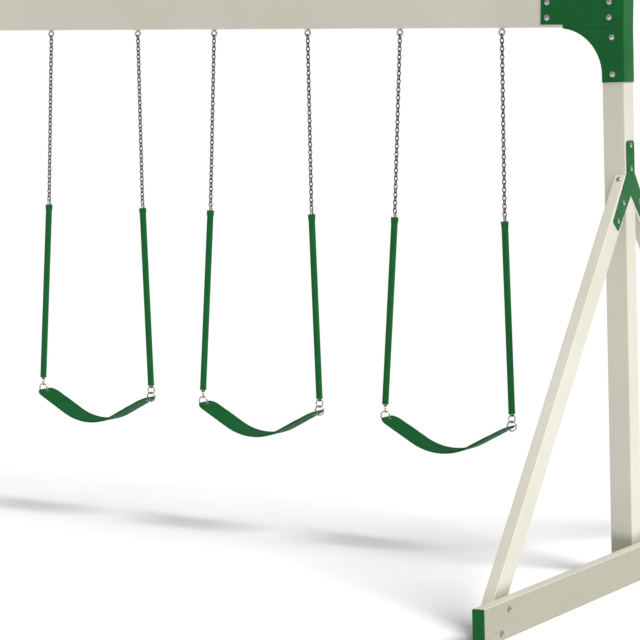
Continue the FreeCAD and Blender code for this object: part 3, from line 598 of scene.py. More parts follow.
@dataclass(frozen=True)
class PlatedSteel(Finish):
    """Zinc or nickel on steel. Hot-dipped zinc sets in flat crystals that differ a little in
    tone and gloss; a bright electroplated coat is even, with a slow stain.

    Attributes:
        crystal_size: Size of a crystal.
        stain_size: Size of the stain's patches.
        stain_depth: Depth of the stain.
        spread: How far the roughness goes either side of its own value.
        crease_shade: Colour of the painted shade in slots and creases.
        crease_shade_reach: How far an enclosing surface counts for the painted shade.
    """

    crystal_size: float = 6.0
    stain_size: float = 18.0
    stain_depth: float = 0.15
    spread: float = 0.1
    crease_shade: str = "#1b1a18"
    crease_shade_reach: float = 3.5

    def pattern(self, tree: bpy.types.NodeTree, shader: bpy.types.Node) -> None:
        """One tone and gloss to each crystal, under a slow stain, with painted shade in slots
        and creases.

        Args:
            tree: The node tree.
            shader: The shader that the pattern is linked to.
        """
        place = add_node(tree, "ShaderNodeTexCoord")
        crystal = add_node(tree, "ShaderNodeTexVoronoi", {
            "Vector": place.outputs["Object"], "Scale": per_metre(self.crystal_size)})
        cell = add_node(tree, "ShaderNodeSeparateColor", {0: crystal.outputs["Color"]})
        stain = add_node(tree, "ShaderNodeTexNoise", {
            "Vector": place.outputs["Object"], "Scale": per_metre(self.stain_size),
            "Detail": 5.0, "Roughness": 0.6})
        both = add_node(tree, "ShaderNodeMix", {
            0: 0.5, 2: cell.outputs[0], 3: stain.outputs["Fac"]}, data_type="FLOAT")
        bump = add_node(tree, "ShaderNodeBump", {
            "Height": stain.outputs["Fac"], "Distance": self.stain_depth * MM,
            "Strength": 0.4})
        clean = self.two_tones(tree, both.outputs[0])
        # painted shade: the metal darkens in slots, seams and where a head meets its washer
        tree.links.new(self.painted_crease_shade(tree, clean, self.crease_shade, self.crease_shade_reach),
                       shader.inputs["Base Color"])
        tree.links.new(bump.outputs[0], shader.inputs["Normal"])
        self.gloss(tree, shader, both.outputs[0], self.spread)


@dataclass(frozen=True)
class StudioFloor(Finish):
    """Painted studio floor: a matt, nearly even pale ground.

    Attributes:
        cloud_size: Size of the drift of tone.
    """

    cloud_size: float = 900.0

    def pattern(self, tree: bpy.types.NodeTree, shader: bpy.types.Node) -> None:
        """A slow drift of tone that only just shows.

        Args:
            tree: The node tree.
            shader: The shader that the pattern is linked to.
        """
        place = add_node(tree, "ShaderNodeTexCoord")
        cloud = add_node(tree, "ShaderNodeTexNoise", {
            "Vector": place.outputs["Object"], "Scale": per_metre(self.cloud_size),
            "Detail": 3.0})
        tree.links.new(self.two_tones(tree, cloud.outputs["Fac"]), shader.inputs["Base Color"])


class Dressing:
    """The finishes, each made into a material once."""

    vinyl = ExtrudedVinyl("extruded outdoor PVC", "white_vinyl", "#d9d7c8", "#d3d0c0",
                          0.42, ior=1.53)
    pine = SawnPine("sawn treated pine", "timber", "#d8b887", "#b48f5c", 0.75, ior=1.45)
    coat = PowderCoatedSteel("green polyester powder coat on steel", "green_steel",
                             "#006328", "#005b25", 0.44, specular=0.2)
    plastic = MouldedPlastic("moulded green polypropylene", "cap_plastic", "#006328",
                             "#005c25", 0.5, ior=1.49, specular=0.22)
    zinc = PlatedSteel("bright zinc plate on steel", "zinc_steel", "#c9cbc8", "#b3b6b5",
                       0.34, metallic=1.0, crystal_size=9.0)
    chain = PlatedSteel("hot-dip galvanised chain", "chain_steel", "#6f7170", "#525554",
                        0.46, metallic=1.0, crystal_size=4.0, spread=0.08)
    ring = PlatedSteel("satin nickel plate on steel", "ring_steel", "#c9c1bb", "#b7b0ab",
                       0.28, metallic=1.0, crystal_size=12.0, spread=0.05)
    grip = SoftVinyl("soft green plastisol sleeve", "grip_vinyl", "#005a24", "#02612a",
                     0.5, ior=1.52, specular=0.2)
    rubber = MouldedRubber("moulded green rubber belting", "seat_rubber", "#005b26",
                           "#005323", 0.7, ior=1.52, specular=0.15)
    floor = StudioFloor("pale painted floor", "", "#ffffff", "#fcfcfb", 0.9)

    def __init__(self) -> None:
        """Start with nothing made."""
        self.made: dict[str, bpy.types.Material] = {}

    def dress(self, piece: bpy.types.Object, finish: Finish) -> None:
        """Give a piece a finish.

        Args:
            piece: The mesh object.
            finish: One of this class's finishes.
        """
        if finish.name not in self.made:
            self.made[finish.name] = finish.build()
        piece.data.materials.clear()
        piece.data.materials.append(self.made[finish.name])


def stand_in(piece: bpy.types.Object, node: str, body: str) -> None:
    """Let a piece ride on a body and stand for a design's node."""
    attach(piece, body)
    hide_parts(node)


# ---------------------------------------------------------------- surfaces
def grid_faces(rows: int, columns: int, close_rows: bool, close_columns: bool) -> np.ndarray:
    """Number the corners of a grid's faces. The point of row r and column c is number
    r times columns plus c, and a closed direction joins its last line to its first.

    Args:
        rows: Points in the first direction.
        columns: Points in the second direction.
        close_rows: Whether the last row joins the first.
        close_columns: Whether the last column joins the first.

    Returns:
        Four corner numbers for each face.
    """
    row, column = np.meshgrid(np.arange(rows if close_rows else rows - 1),
                              np.arange(columns if close_columns else columns - 1),
                              indexing="ij")
    next_row, next_column = (row + 1) % rows, (column + 1) % columns
    corners = (row * columns + column, row * columns + next_column,
               next_row * columns + next_column, next_row * columns + column)
    return np.stack(corners, axis=-1).reshape(-1, 4)


def turned(axis: str, degrees: float) -> np.ndarray:
    """The 3 by 3 matrix of a turn about X, Y or Z."""
    return np.array(Matrix.Rotation(radians(degrees), 3, axis))


@dataclass
class Surface:
    """A mesh in the making.

    Attributes:
        points: One row of X, Y and Z for each point.
        faces: Four point numbers for each face.
    """

    points: np.ndarray
    faces: np.ndarray

    def moved(self, turn: np.ndarray, place: np.ndarray) -> "Surface":
        """A copy, turned about the origin and then moved."""
        return Surface(self.points @ turn.T + place, self.faces)

    def repeated(self, turns: np.ndarray, places: np.ndarray) -> "Surface":
        """Copies of the surface as one: copy k is every point times turn k, plus place k.

        Args:
            turns: A 3 by 3 matrix for each copy.
            places: A place for each copy.

        Returns:
            All the copies together.
        """
        points = np.einsum("kij,pj->kpi", turns, self.points) + places[:, None, :]
        step = len(self.points) * np.arange(len(turns))[:, None, None]
        return Surface(points.reshape(-1, 3), (self.faces[None] + step).reshape(-1, 4))

    @staticmethod
    def joined(parts: list["Surface"]) -> "Surface":
        """Several surfaces as one."""
        starts = np.cumsum([0] + [len(part.points) for part in parts[:-1]])
        faces = [part.faces + start for part, start in zip(parts, starts)]
        return Surface(np.concatenate([part.points for part in parts]), np.concatenate(faces))

    def piece(self, name: str, ends: tuple[np.ndarray, ...] = ()) -> bpy.types.Object:
        """Put the surface into a mesh object, its normals outward.

        Args:
            name: The object's name.
            ends: Point numbers of the faces that close its ends, if it has open ends.

        Returns:
            The new object, in the scene.
        """
        mesh = bpy.data.meshes.new(name)
        mesh.from_pydata(self.points.tolist(), [],
                         self.faces.tolist() + [end.tolist() for end in ends])
        return finished(name, mesh, SHARP_ANGLE)


def finished(name: str, mesh: bpy.types.Mesh, sharp: float) -> bpy.types.Object:
    """Turn a mesh's normals outward, smooth its gentle edges and put it in the scene.

    Args:
        name: The object's name.
        mesh: The mesh.
        sharp: The angle in degrees past which an edge stays sharp.

    Returns:
        The new object.
    """
    work = bmesh.new()
    work.from_mesh(mesh)
    bmesh.ops.dissolve_degenerate(work, dist=NO_AREA, edges=work.edges)
    bmesh.ops.recalc_face_normals(work, faces=work.faces)
    work.to_mesh(mesh)
    work.free()
    mesh.polygons.foreach_set("use_smooth", np.ones(len(mesh.polygons), dtype=bool))
    mesh.set_sharp_from_angle(angle=radians(sharp))
    mesh.update()
    piece = bpy.data.objects.new(name, mesh)
    bpy.context.scene.collection.objects.link(piece)
    return piece


def carried_ring(centres: np.ndarray, outward: np.ndarray, side: np.ndarray,
                 radii: np.ndarray, around: int) -> Surface:
    """A round wire carried along a closed path. The point of station i and part j is
    centre i plus radius i times (cos of part j's angle times the outward direction i, plus
    sin of it times the side direction).

    Args:
        centres: The path's points.
        outward: A direction square to the path at each of them.
        side: The direction square to both, the same all along.
        radii: The wire's radius at each point.
        around: Parts round the wire.

    Returns:
        The closed wire.
    """
    angle = np.linspace(0, 2 * pi, around, endpoint=False)
    ring = (np.cos(angle)[None, :, None] * outward[:, None, :]
            + np.sin(angle)[None, :, None] * side[None, None, :])
    points = centres[:, None, :] + radii[:, None, None] * ring
    return Surface(points.reshape(-1, 3), grid_faces(len(centres), around, True, True))


def turned_profile(profile: np.ndarray, around: int) -> Surface:
    """A closed outline turned about Z. The point of outline point i and part j is
    (radius i times cos of part j's angle, radius i times sin of it, height i).

    Args:
        profile: Radius and height of each outline point.
        around: Parts round the axis.

    Returns:
        The closed surface.
    """
    angle = np.linspace(0, 2 * pi, around, endpoint=False)
    radius, height = profile[:, 0][:, None], profile[:, 1][:, None]
    points = np.stack(np.broadcast_arrays(radius * np.cos(angle), radius * np.sin(angle),
                                          height), axis=-1)
    return Surface(points.reshape(-1, 3), grid_faces(len(profile), around, True, True))


def rounded_outline(corners: list[tuple[float, float, float]], steps: int = 5) -> np.ndarray:
    """Round a closed outline's corners. Each corner gives way to points on a parabola that
    leaves one side and joins the next at the corner's own distance from it:
    (1 - t) squared times the first, 2 t (1 - t) times the corner, t squared times the last.

    Args:
        corners: Two coordinates and a rounding distance for each corner, in order.
        steps: Points to each rounded corner.

    Returns:
        The outline's points.
    """
    points = np.array([corner[:2] for corner in corners])
    reach = np.array([corner[2] for corner in corners])[:, None]
    before, after = np.roll(points, 1, axis=0) - points, np.roll(points, -1, axis=0) - points
    start = points + before / np.linalg.norm(before, axis=1)[:, None] * reach
    end = points + after / np.linalg.norm(after, axis=1)[:, None] * reach
    t = np.linspace(0, 1, steps)[None, :, None]
    curve = (1 - t) ** 2 * start[:, None] + 2 * t * (1 - t) * points[:, None] \
        + t ** 2 * end[:, None]
    return curve.reshape(-1, 2)


def in_xz(angle: np.ndarray) -> np.ndarray:
    """Directions in the XZ plane: (cos, 0, sin) of each angle from +X towards +Z."""
    return np.stack((np.cos(angle), np.zeros_like(angle), np.sin(angle)), axis=1)


def across_x(direction: np.ndarray) -> np.ndarray:
    """The turn that takes -Z to a direction in the XZ plane."""
    return np.array([[-direction[2], 0, -direction[0]], [0, 1, 0],
                     [direction[0], 0, -direction[2]]])


# ---------------------------------------------------------------- members and plates
class Run(Enum):
    """Which way a member's length lies."""

    BEAM = "beam"
    POST = "post"
    FRONT_LEG = "front leg"
    BACK_LEG = "back leg"
    RAIL = "rail"


@dataclass
class Refined:
    """A copy of a designed solid for show: merged, its flats cleared of needless edges and
    its hard edges rounded.

    Attributes:
        round_over: How far each hard edge is rounded.
        steps: Faces across a rounded edge.
        hard: The angle in degrees past which an edge counts as hard.
        merge: How near two points count as one.
        flat: The angle in degrees under which two faces count as one.
    """

    round_over: float = 0.8 * MM
    steps: int = 2
    hard: float = 32.0
    merge: float = 0.002 * MM
    flat: float = 0.05

    def of(self, node: str, suffix: str) -> bpy.types.Object:
        """Make the copy, which stands for the node and rides on its body.

        Args:
            node: The design's node.
            suffix: What the copy's name adds to the node's.

        Returns:
            The new piece.
        """
        source = frame["nodes"][node]
        mesh = source.data.copy()
        mesh.name = f"{node}_{suffix}"
        work = bmesh.new()
        work.from_mesh(mesh)
        bmesh.ops.remove_doubles(work, verts=work.verts, dist=self.merge)
        bmesh.ops.dissolve_limit(work, angle_limit=radians(self.flat), verts=work.verts,
                                 edges=work.edges)
        work.to_mesh(mesh)
        work.free()
        piece = finished(f"{node}_{suffix}", mesh, self.hard)
        bevel = piece.modifiers.new("rounded edges", "BEVEL")
        bevel.width = self.round_over
        bevel.segments = self.steps
        bevel.limit_method = "ANGLE"
        bevel.angle_limit = radians(self.hard)
        bevel.use_clamp_overlap = True
        bevel.harden_normals = True
        stand_in(piece, node, source["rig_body"])
        return piece


@dataclass
class Member:
    """A sleeved timber: a vinyl sleeve over a pine core.

    Attributes:
        sleeve: The sleeve's node.
        timbers: The timber nodes that lie the same way, if this member dresses them.
        run: Which way it lies.
        side: -1 for the left end frame, 1 for the right, 0 for the beam.
        lean: How far the end frames lean out, in degrees.
        rake: How far the legs rake from the post, in degrees.
        sleeve_edge: Rounding of the sleeve's cut edges.
        timber_edge: Rounding of the timber's edges.
        end_below: The sine of a face's normal with the length, under which the face lies
            across it.
        upright_above: The length's share of Z past which it counts as upright.
    """

    sleeve: str
    timbers: tuple[str, ...]
    run: Run
    side: int = 0
    lean: float = 2.0
    rake: float = 40.0
    sleeve_edge: float = 0.5 * MM
    timber_edge: float = 1.5 * MM
    end_below: float = 0.3
    upright_above: float = 0.5

    def direction(self) -> np.ndarray:
        """The way the length runs: the beam along X, the rail along Y, a post straight down
        and a leg raked from it, both then leaned out about Y."""
        upright = {
            Run.BEAM: (1.0, 0.0, 0.0), Run.RAIL: (0.0, 1.0, 0.0), Run.POST: (0.0, 0.0, -1.0),
            Run.FRONT_LEG: (0.0, -sin(radians(self.rake)), -cos(radians(self.rake))),
            Run.BACK_LEG: (0.0, sin(radians(self.rake)), -cos(radians(self.rake)))}[self.run]
        if self.run is Run.BEAM:
            return np.array(upright)
        return turned("Y", -self.side * self.lean) @ np.array(upright)

    def lay_grain(self, mesh: bpy.types.Mesh) -> None:
        """Lay UVs in metres: U is the distance along the length, and V the distance along
        the length's cross product with the face's normal. A face across the length takes Y
        and Z, or X and Y.

        Args:
            mesh: The mesh; it gets a UV layer.
        """
        along = self.direction()
        loops, faces = len(mesh.loops), len(mesh.polygons)
        places = np.empty(len(mesh.vertices) * 3)
        mesh.vertices.foreach_get("co", places)
        corner = np.empty(loops, dtype=np.int32)
        mesh.loops.foreach_get("vertex_index", corner)
        normals = np.empty(faces * 3)
        mesh.polygons.foreach_get("normal", normals)
        sizes = np.empty(faces, dtype=np.int32)
        mesh.polygons.foreach_get("loop_total", sizes)
        points = places.reshape(-1, 3)[corner]
        normal = np.repeat(normals.reshape(-1, 3), sizes, axis=0)
        across = np.cross(along, normal)
        length = np.linalg.norm(across, axis=1, keepdims=True)
        end_face = length < self.end_below
        y_and_z = (0.0, 1.0, 0.0), (0.0, 0.0, 1.0)
        x_and_y = (1.0, 0.0, 0.0), (0.0, 1.0, 0.0)
        end_first, end_across = y_and_z if abs(along[2]) < self.upright_above else x_and_y
        across = np.where(end_face, end_across, across / np.maximum(length, NO_LENGTH))
        first = np.where(end_face, end_first, along)
        uv = np.stack(((points * first).sum(1), (points * across).sum(1)), axis=1)
        layer = mesh.uv_layers.new(name="grain")
        layer.data.foreach_set("uv", uv.ravel())

    def build(self, dressing: Dressing) -> list[bpy.types.Object]:
        """Make and dress the sleeve and its timbers.

        Args:
            dressing: The finishes.

        Returns:
            The pieces.
        """
        sleeve = Refined(self.sleeve_edge).of(self.sleeve, "vinyl")
        timbers = [Refined(self.timber_edge, 1).of(node, "pine") for node in self.timbers]
        dressing.dress(sleeve, Dressing.vinyl)
        for timber in timbers:
            dressing.dress(timber, Dressing.pine)
        for piece in (sleeve, *timbers):
            self.lay_grain(piece.data)
        return [sleeve, *timbers]


@dataclass
class EndFrame:
    """One end: a post, two raked legs and a ground rail, bracketed and bolted.

    Attributes:
        side: -1 for the left, 1 for the right.
        bracket_edge: Rounding of the sheet steel's edges.
        cap_edge: Rounding of the plastic caps' edges.
        bolt_edge: Rounding of the small fasteners' edges.
    """

    side: int
    bracket_edge: float = 0.7 * MM
    cap_edge: float = 1.6 * MM
    bolt_edge: float = 0.35 * MM

    def build(self, dressing: Dressing) -> list[bpy.types.Object]:
        """Make and dress every piece of the end frame.

        Args:
            dressing: The finishes.

        Returns:
            The pieces.
        """
        name = SIDE_NAMES[self.side] + "_"
        members = [
            Member(name + "post_sleeve", (name + "post_timber",), Run.POST, self.side),
            Member(name + "front_leg_sleeve", (), Run.FRONT_LEG, self.side),
            Member(name + "back_leg_sleeve", (name + "leg_timbers",), Run.BACK_LEG, self.side),
            Member(name + "rail_sleeve", (name + "rail_timber",), Run.RAIL, self.side)]
        pieces = [piece for member in members for piece in member.build(dressing)]
        plates = {
            "corner_bracket": ("coated", self.bracket_edge, Dressing.coat),
            "leg_bracket": ("coated", self.bracket_edge, Dressing.coat),
            "rail_end_caps": ("moulded", self.cap_edge, Dressing.plastic),
            "corner_bolts": ("plated", self.bolt_edge, Dressing.zinc),
            "leg_bracket_and_rail_bolts": ("plated", self.bolt_edge, Dressing.zinc),
            "leg_screws": ("plated", self.bolt_edge, Dressing.zinc),
            "nuts_and_washers": ("plated", self.bolt_edge, Dressing.zinc)}
        for node, (suffix, edge, finish) in plates.items():
            pieces.append(Refined(edge).of(name + node, suffix))
            dressing.dress(pieces[-1], finish)
        return pieces


@dataclass
class Hangers:
    """The eye bolts under the beam, with their nuts and washers.

    Attributes:
        eye_radius: From an eye's middle to its wire's middle.
        eye_wire: Radius of the eye's wire.
        shank: Radius of the shank.
        pitch: From one thread crest to the next.
        thread_depth: From crest to root.
        thread_length: Length of thread at the top.
        nut_edge: Rounding of the nuts' and washers' edges.
        stations: Points round an eye.
        around: Points round a wire.
    """

    eye_radius: float = 13.0 * MM
    eye_wire: float = 4.5 * MM
    shank: float = 5.0 * MM
    pitch: float = 1.5 * MM
    thread_depth: float = 0.6 * MM
    thread_length: float = 15.0 * MM
    nut_edge: float = 0.35 * MM
    stations: int = 40
    around: int = 14

    def eye(self, low: float, high: float) -> Surface:
        """An eye and its shank at X = 0: a wire carried round a circle in the XZ plane, and
        an outline turned about Z whose radius steps in by the thread's depth at each root.

        Args:
            low: Height of the eye's lowest point.
            high: Height of the shank's top.

        Returns:
            Both closed surfaces as one.
        """
        middle = low + self.eye_wire + self.eye_radius
        outward = in_xz(np.linspace(0, 2 * pi, self.stations, endpoint=False))
        loop = carried_ring(outward * self.eye_radius + np.array([0.0, 0.0, middle]), outward,
                            ALONG_Y, np.full(self.stations, self.eye_wire), self.around)
        foot = middle + self.eye_radius
        crests = np.arange(high - self.thread_length, high - self.pitch / 2, self.pitch / 2)
        depth = np.where(np.arange(len(crests)) % 2 == 0, 0.0, self.thread_depth)
        thread = np.stack((self.shank - depth, crests), axis=1)
        tip = [[self.shank - self.thread_depth, high], [0.0, high], [0.0, foot],
               [self.shank, foot]]
        return Surface.joined([loop, turned_profile(np.concatenate((thread, tip)),
                                                    self.around)])

    def build(self, dressing: Dressing) -> list[bpy.types.Object]:
        """Make and dress the eye bolts, and dress their nuts and washers.

        Args:
            dressing: The finishes.

        Returns:
            The pieces.
        """
        low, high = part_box("eye_bolts")
        places = []
        for swing in SWINGS:
            left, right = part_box(swing + "_upper_chains")
            middle = (left.x + right.x) / 2
            places += [middle + side * Swing.hanger_spacing / 2 for side in SIDES]
        turns = np.repeat(np.eye(3)[None], len(places), axis=0)
        shifts = np.outer(places, (1.0, 0.0, 0.0))
        eyes = self.eye(low.z, high.z).repeated(turns, shifts).piece("eye_bolts_formed")
        stand_in(eyes, "eye_bolts", FRAME_BODY)
        dressing.dress(eyes, Dressing.ring)
        nuts = Refined(self.nut_edge).of("eye_bolt_nuts_and_washers", "plated")
        dressing.dress(nuts, Dressing.zinc)
        return [eyes, nuts]


# ---------------------------------------------------------------- swings
@dataclass
class Link:
    """A welded or threaded oval link, long in Z and lying in the XZ plane.

    Attributes:
        bend: From the middle of a bend to its wire's middle.
        wire: Radius of the wire.
        length: Outside length.
        bend_points: Points on each bend.
        around: Points round the wire.
        weld: How much thicker the wire is at its weld, as a share.
    """

    bend: float
    wire: float
    length: float
    bend_points: int = 5
    around: int = 6
    weld: float = 0.16

    @property
    def half(self) -> float:
        """Half the straight side: from the link's middle to the middle of a bend."""
        return self.length / 2 - self.wire - self.bend

    def surface(self) -> Surface:
        """The wire carried round two half circles: on the top one the centre is
        (bend cos a, half + bend sin a) for a from 0 to 180 degrees, and the bottom one is
        the top one turned about. One middle point of each straight side lies between; the
        wire swells at one of them.

        Returns:
            The closed link.
        """
        out = in_xz(np.linspace(0, pi, self.bend_points))
        top = out * self.bend + np.array([0.0, 0.0, self.half])
        side = np.array([[-1.0, 0.0, 0.0]])
        outward = np.concatenate((out, side, -out, -side))
        centres = np.concatenate((top, side * self.bend, -top, -side * self.bend))
        radii = np.full(len(centres), self.wire)
        radii[-1] *= 1 + self.weld
        return carried_ring(centres, outward, ALONG_Y, radii, self.around)


@dataclass
class HangingLine:
    """The fixed points down one side of a swing, in the plane of the beam.

    Attributes:
        eye: The middle of the eye's wire, that the chain hangs on.
        side: -1 for the left, 1 for the right.
        upper_splay: How far the upper chain leans out, in degrees.
        lower_splay: How far the lower chain leans out, in degrees.
        gap: Room between two links that hang in each other.
        upper_links: Links above the connector.
        lower_links: Links below it.
        link: The chain's link.
        connector: The connector link.
        chain_ring: Middle radius and wire radius of the upper ring.
        seat_ring: Middle radius and wire radius of the lower ring.
        belt_angle: Slope of the belt's ends, in degrees.
    """

    eye: np.ndarray
    side: int
    upper_splay: float = 1.57
    lower_splay: float = 2.96
    gap: float = 0.4 * MM
    upper_links: int = 44
    lower_links: int = 47
    link: Link = field(default_factory=lambda: Link(7.75 * MM, 2.75 * MM, 29.65 * MM))
    connector: Link = field(default_factory=lambda: Link(8.75 * MM, 3.25 * MM, 42.0 * MM,
                                                         9, 10, 0.0))
    chain_ring: tuple[float, float] = (17.5 * MM, 3.0 * MM)
    seat_ring: tuple[float, float] = (22.0 * MM, 3.25 * MM)
    belt_angle: float = 29.0

    def down(self, angle: float) -> np.ndarray:
        """One metre down a chain that leans out by an angle in degrees."""
        return np.array([self.side * sin(radians(angle)), 0.0, -cos(radians(angle))])

    @property
    def pitch(self) -> float:
        """From one link's middle to the next one's."""
        return self.link.length - 4 * self.link.wire - self.gap

    @property
    def first(self) -> np.ndarray:
        """The middle of the first upper link."""
        reach = self.link.length / 2 - self.link.wire - self.link.bend
        return self.eye + self.down(self.upper_splay) * reach

    @property
    def connector_middle(self) -> np.ndarray:
        """The middle of the connector link."""
        link_half = self.link.length / 2 - self.link.wire
        half = self.connector.length / 2 - self.connector.wire
        overlap = self.link.wire + self.connector.wire + self.gap
        reach = self.pitch * (self.upper_links - 1) + link_half + half - overlap
        return self.first + self.down(self.upper_splay) * reach

    @property
    def kink(self) -> np.ndarray:
        """Where the lower chain hangs in the connector."""
        half = self.connector.length / 2 - self.connector.wire
        return self.connector_middle + self.down(self.upper_splay) * half

    @property
    def lower_first(self) -> np.ndarray:
        """The middle of the first lower link."""
        overlap = self.link.wire + self.connector.wire + self.gap
        reach = self.link.length / 2 - self.link.wire - overlap
        return self.kink + self.down(self.lower_splay) * reach

    @property
    def ring_top(self) -> np.ndarray:
        """The middle of the upper ring's wire, where the last link holds it."""
        reach = self.pitch * (self.lower_links - 1) + self.link.length / 2 - self.link.wire
        overlap = self.link.wire + self.chain_ring[1] + self.gap
        return self.lower_first + self.down(self.lower_splay) * (reach - overlap)

    @property
    def chain_ring_middle(self) -> np.ndarray:
        """The middle of the upper ring."""
        return self.ring_top - np.array([0.0, 0.0, self.chain_ring[0]])

    @property
    def seat_ring_middle(self) -> np.ndarray:
        """The middle of the lower ring."""
        drop = self.chain_ring[0] + self.seat_ring[0] - self.chain_ring[1] \
            - self.seat_ring[1] - self.gap
        return self.chain_ring_middle - np.array([0.0, 0.0, drop])

    @property
    def hole(self) -> np.ndarray:
        """The middle of the belt's hole, on the lower ring's wire."""
        rake = radians(self.belt_angle)
        return self.seat_ring_middle \
            + np.array([-self.side * cos(rake), 0.0, -sin(rake)]) * self.seat_ring[0]

    def chain(self, start: np.ndarray, splay: float, count: int, first_turn: int) -> Surface:
        """Links hung one in the next: link k's middle is the start plus k pitches down the
        chain, and it is turned a quarter about its length when k plus the first turn is odd.

        Args:
            start: The first link's middle.
            splay: How far the chain leans out, in degrees.
            count: How many links.
            first_turn: 1 when the first link is the turned one.

        Returns:
            The chain.
        """
        tip = turned("Y", -self.side * splay)
        pair = np.stack((tip, tip @ turned("Z", QUARTER_TURN)))
        index = np.arange(count)
        places = start + self.pitch * index[:, None] * self.down(splay)
        return self.link.surface().repeated(pair[(index + first_turn) % 2], places)


@dataclass
class Grip:
    """A plastisol sleeve over the lower chain, with a wider mouth round the connector.

    Attributes:
        bore: Inner radius.
        wall: Thickness of the wall.
        mouth_bore: Inner radius of the mouth.
        mouth_wall: Thickness of its wall.
        mouth_depth: Length of the mouth.
        taper: Length of the slope below it.
        cover: How far it stands above the connector's lower end.
        ring_gap: Room above the ring.
        lip: How far its ends are rounded.
        bead: How far the rolled beads at its ends stand out.
        mouth_bead: How far down the mouth's bead reaches, and where it has sunk away.
        foot_bead: The same for the lower end's bead, measured up.
        slope_round: Rounding where the slope meets the straight walls.
        around: Points round it.
    """

    bore: float = 12.0 * MM
    wall: float = 4.0 * MM
    mouth_bore: float = 14.5 * MM
    mouth_wall: float = 3.5 * MM
    mouth_depth: float = 18.0 * MM
    taper: float = 12.0 * MM
    cover: float = 11.0 * MM
    ring_gap: float = 1.5 * MM
    lip: float = 1.6 * MM
    bead: float = 0.9 * MM
    mouth_bead: tuple[float, float] = (4.0 * MM, 5.5 * MM)
    foot_bead: tuple[float, float] = (4.5 * MM, 6.0 * MM)
    slope_round: float = 4.0 * MM
    around: int = 40

    def surface(self, line: HangingLine) -> Surface:
        """An outline turned about the chain: mouth, slope, straight sleeve, each end with a
        bead and a rounded lip.

        Args:
            line: The side of the swing that it hangs on.

        Returns:
            The closed sleeve.
        """
        axis = line.down(line.lower_splay)
        start = line.kink - axis * self.cover
        outer = self.bore + self.wall
        mouth = self.mouth_bore + self.mouth_wall
        lift = outer * sin(radians(line.lower_splay))
        low = line.ring_top[2] + line.chain_ring[1] + self.ring_gap + lift
        length = (start[2] - low) / cos(radians(line.lower_splay))
        slope_end = self.mouth_depth + self.taper
        bead, lip, bend = self.bead, self.lip, self.slope_round
        outline = rounded_outline([
            (self.mouth_bore, 0.0, lip), (mouth, 0.0, lip), (mouth, -self.mouth_bead[0], bead),
            (mouth - bead, -self.mouth_bead[1], bead), (mouth - bead, -self.mouth_depth, bend),
            (outer - bead, -slope_end, bend), (outer - bead, self.foot_bead[1] - length, bead),
            (outer, self.foot_bead[0] - length, bead), (outer, -length, lip),
            (self.bore, -length, lip), (self.bore, -slope_end, bend),
            (self.mouth_bore, -self.mouth_depth, bend)])
        return turned_profile(outline, self.around).moved(across_x(axis), start)


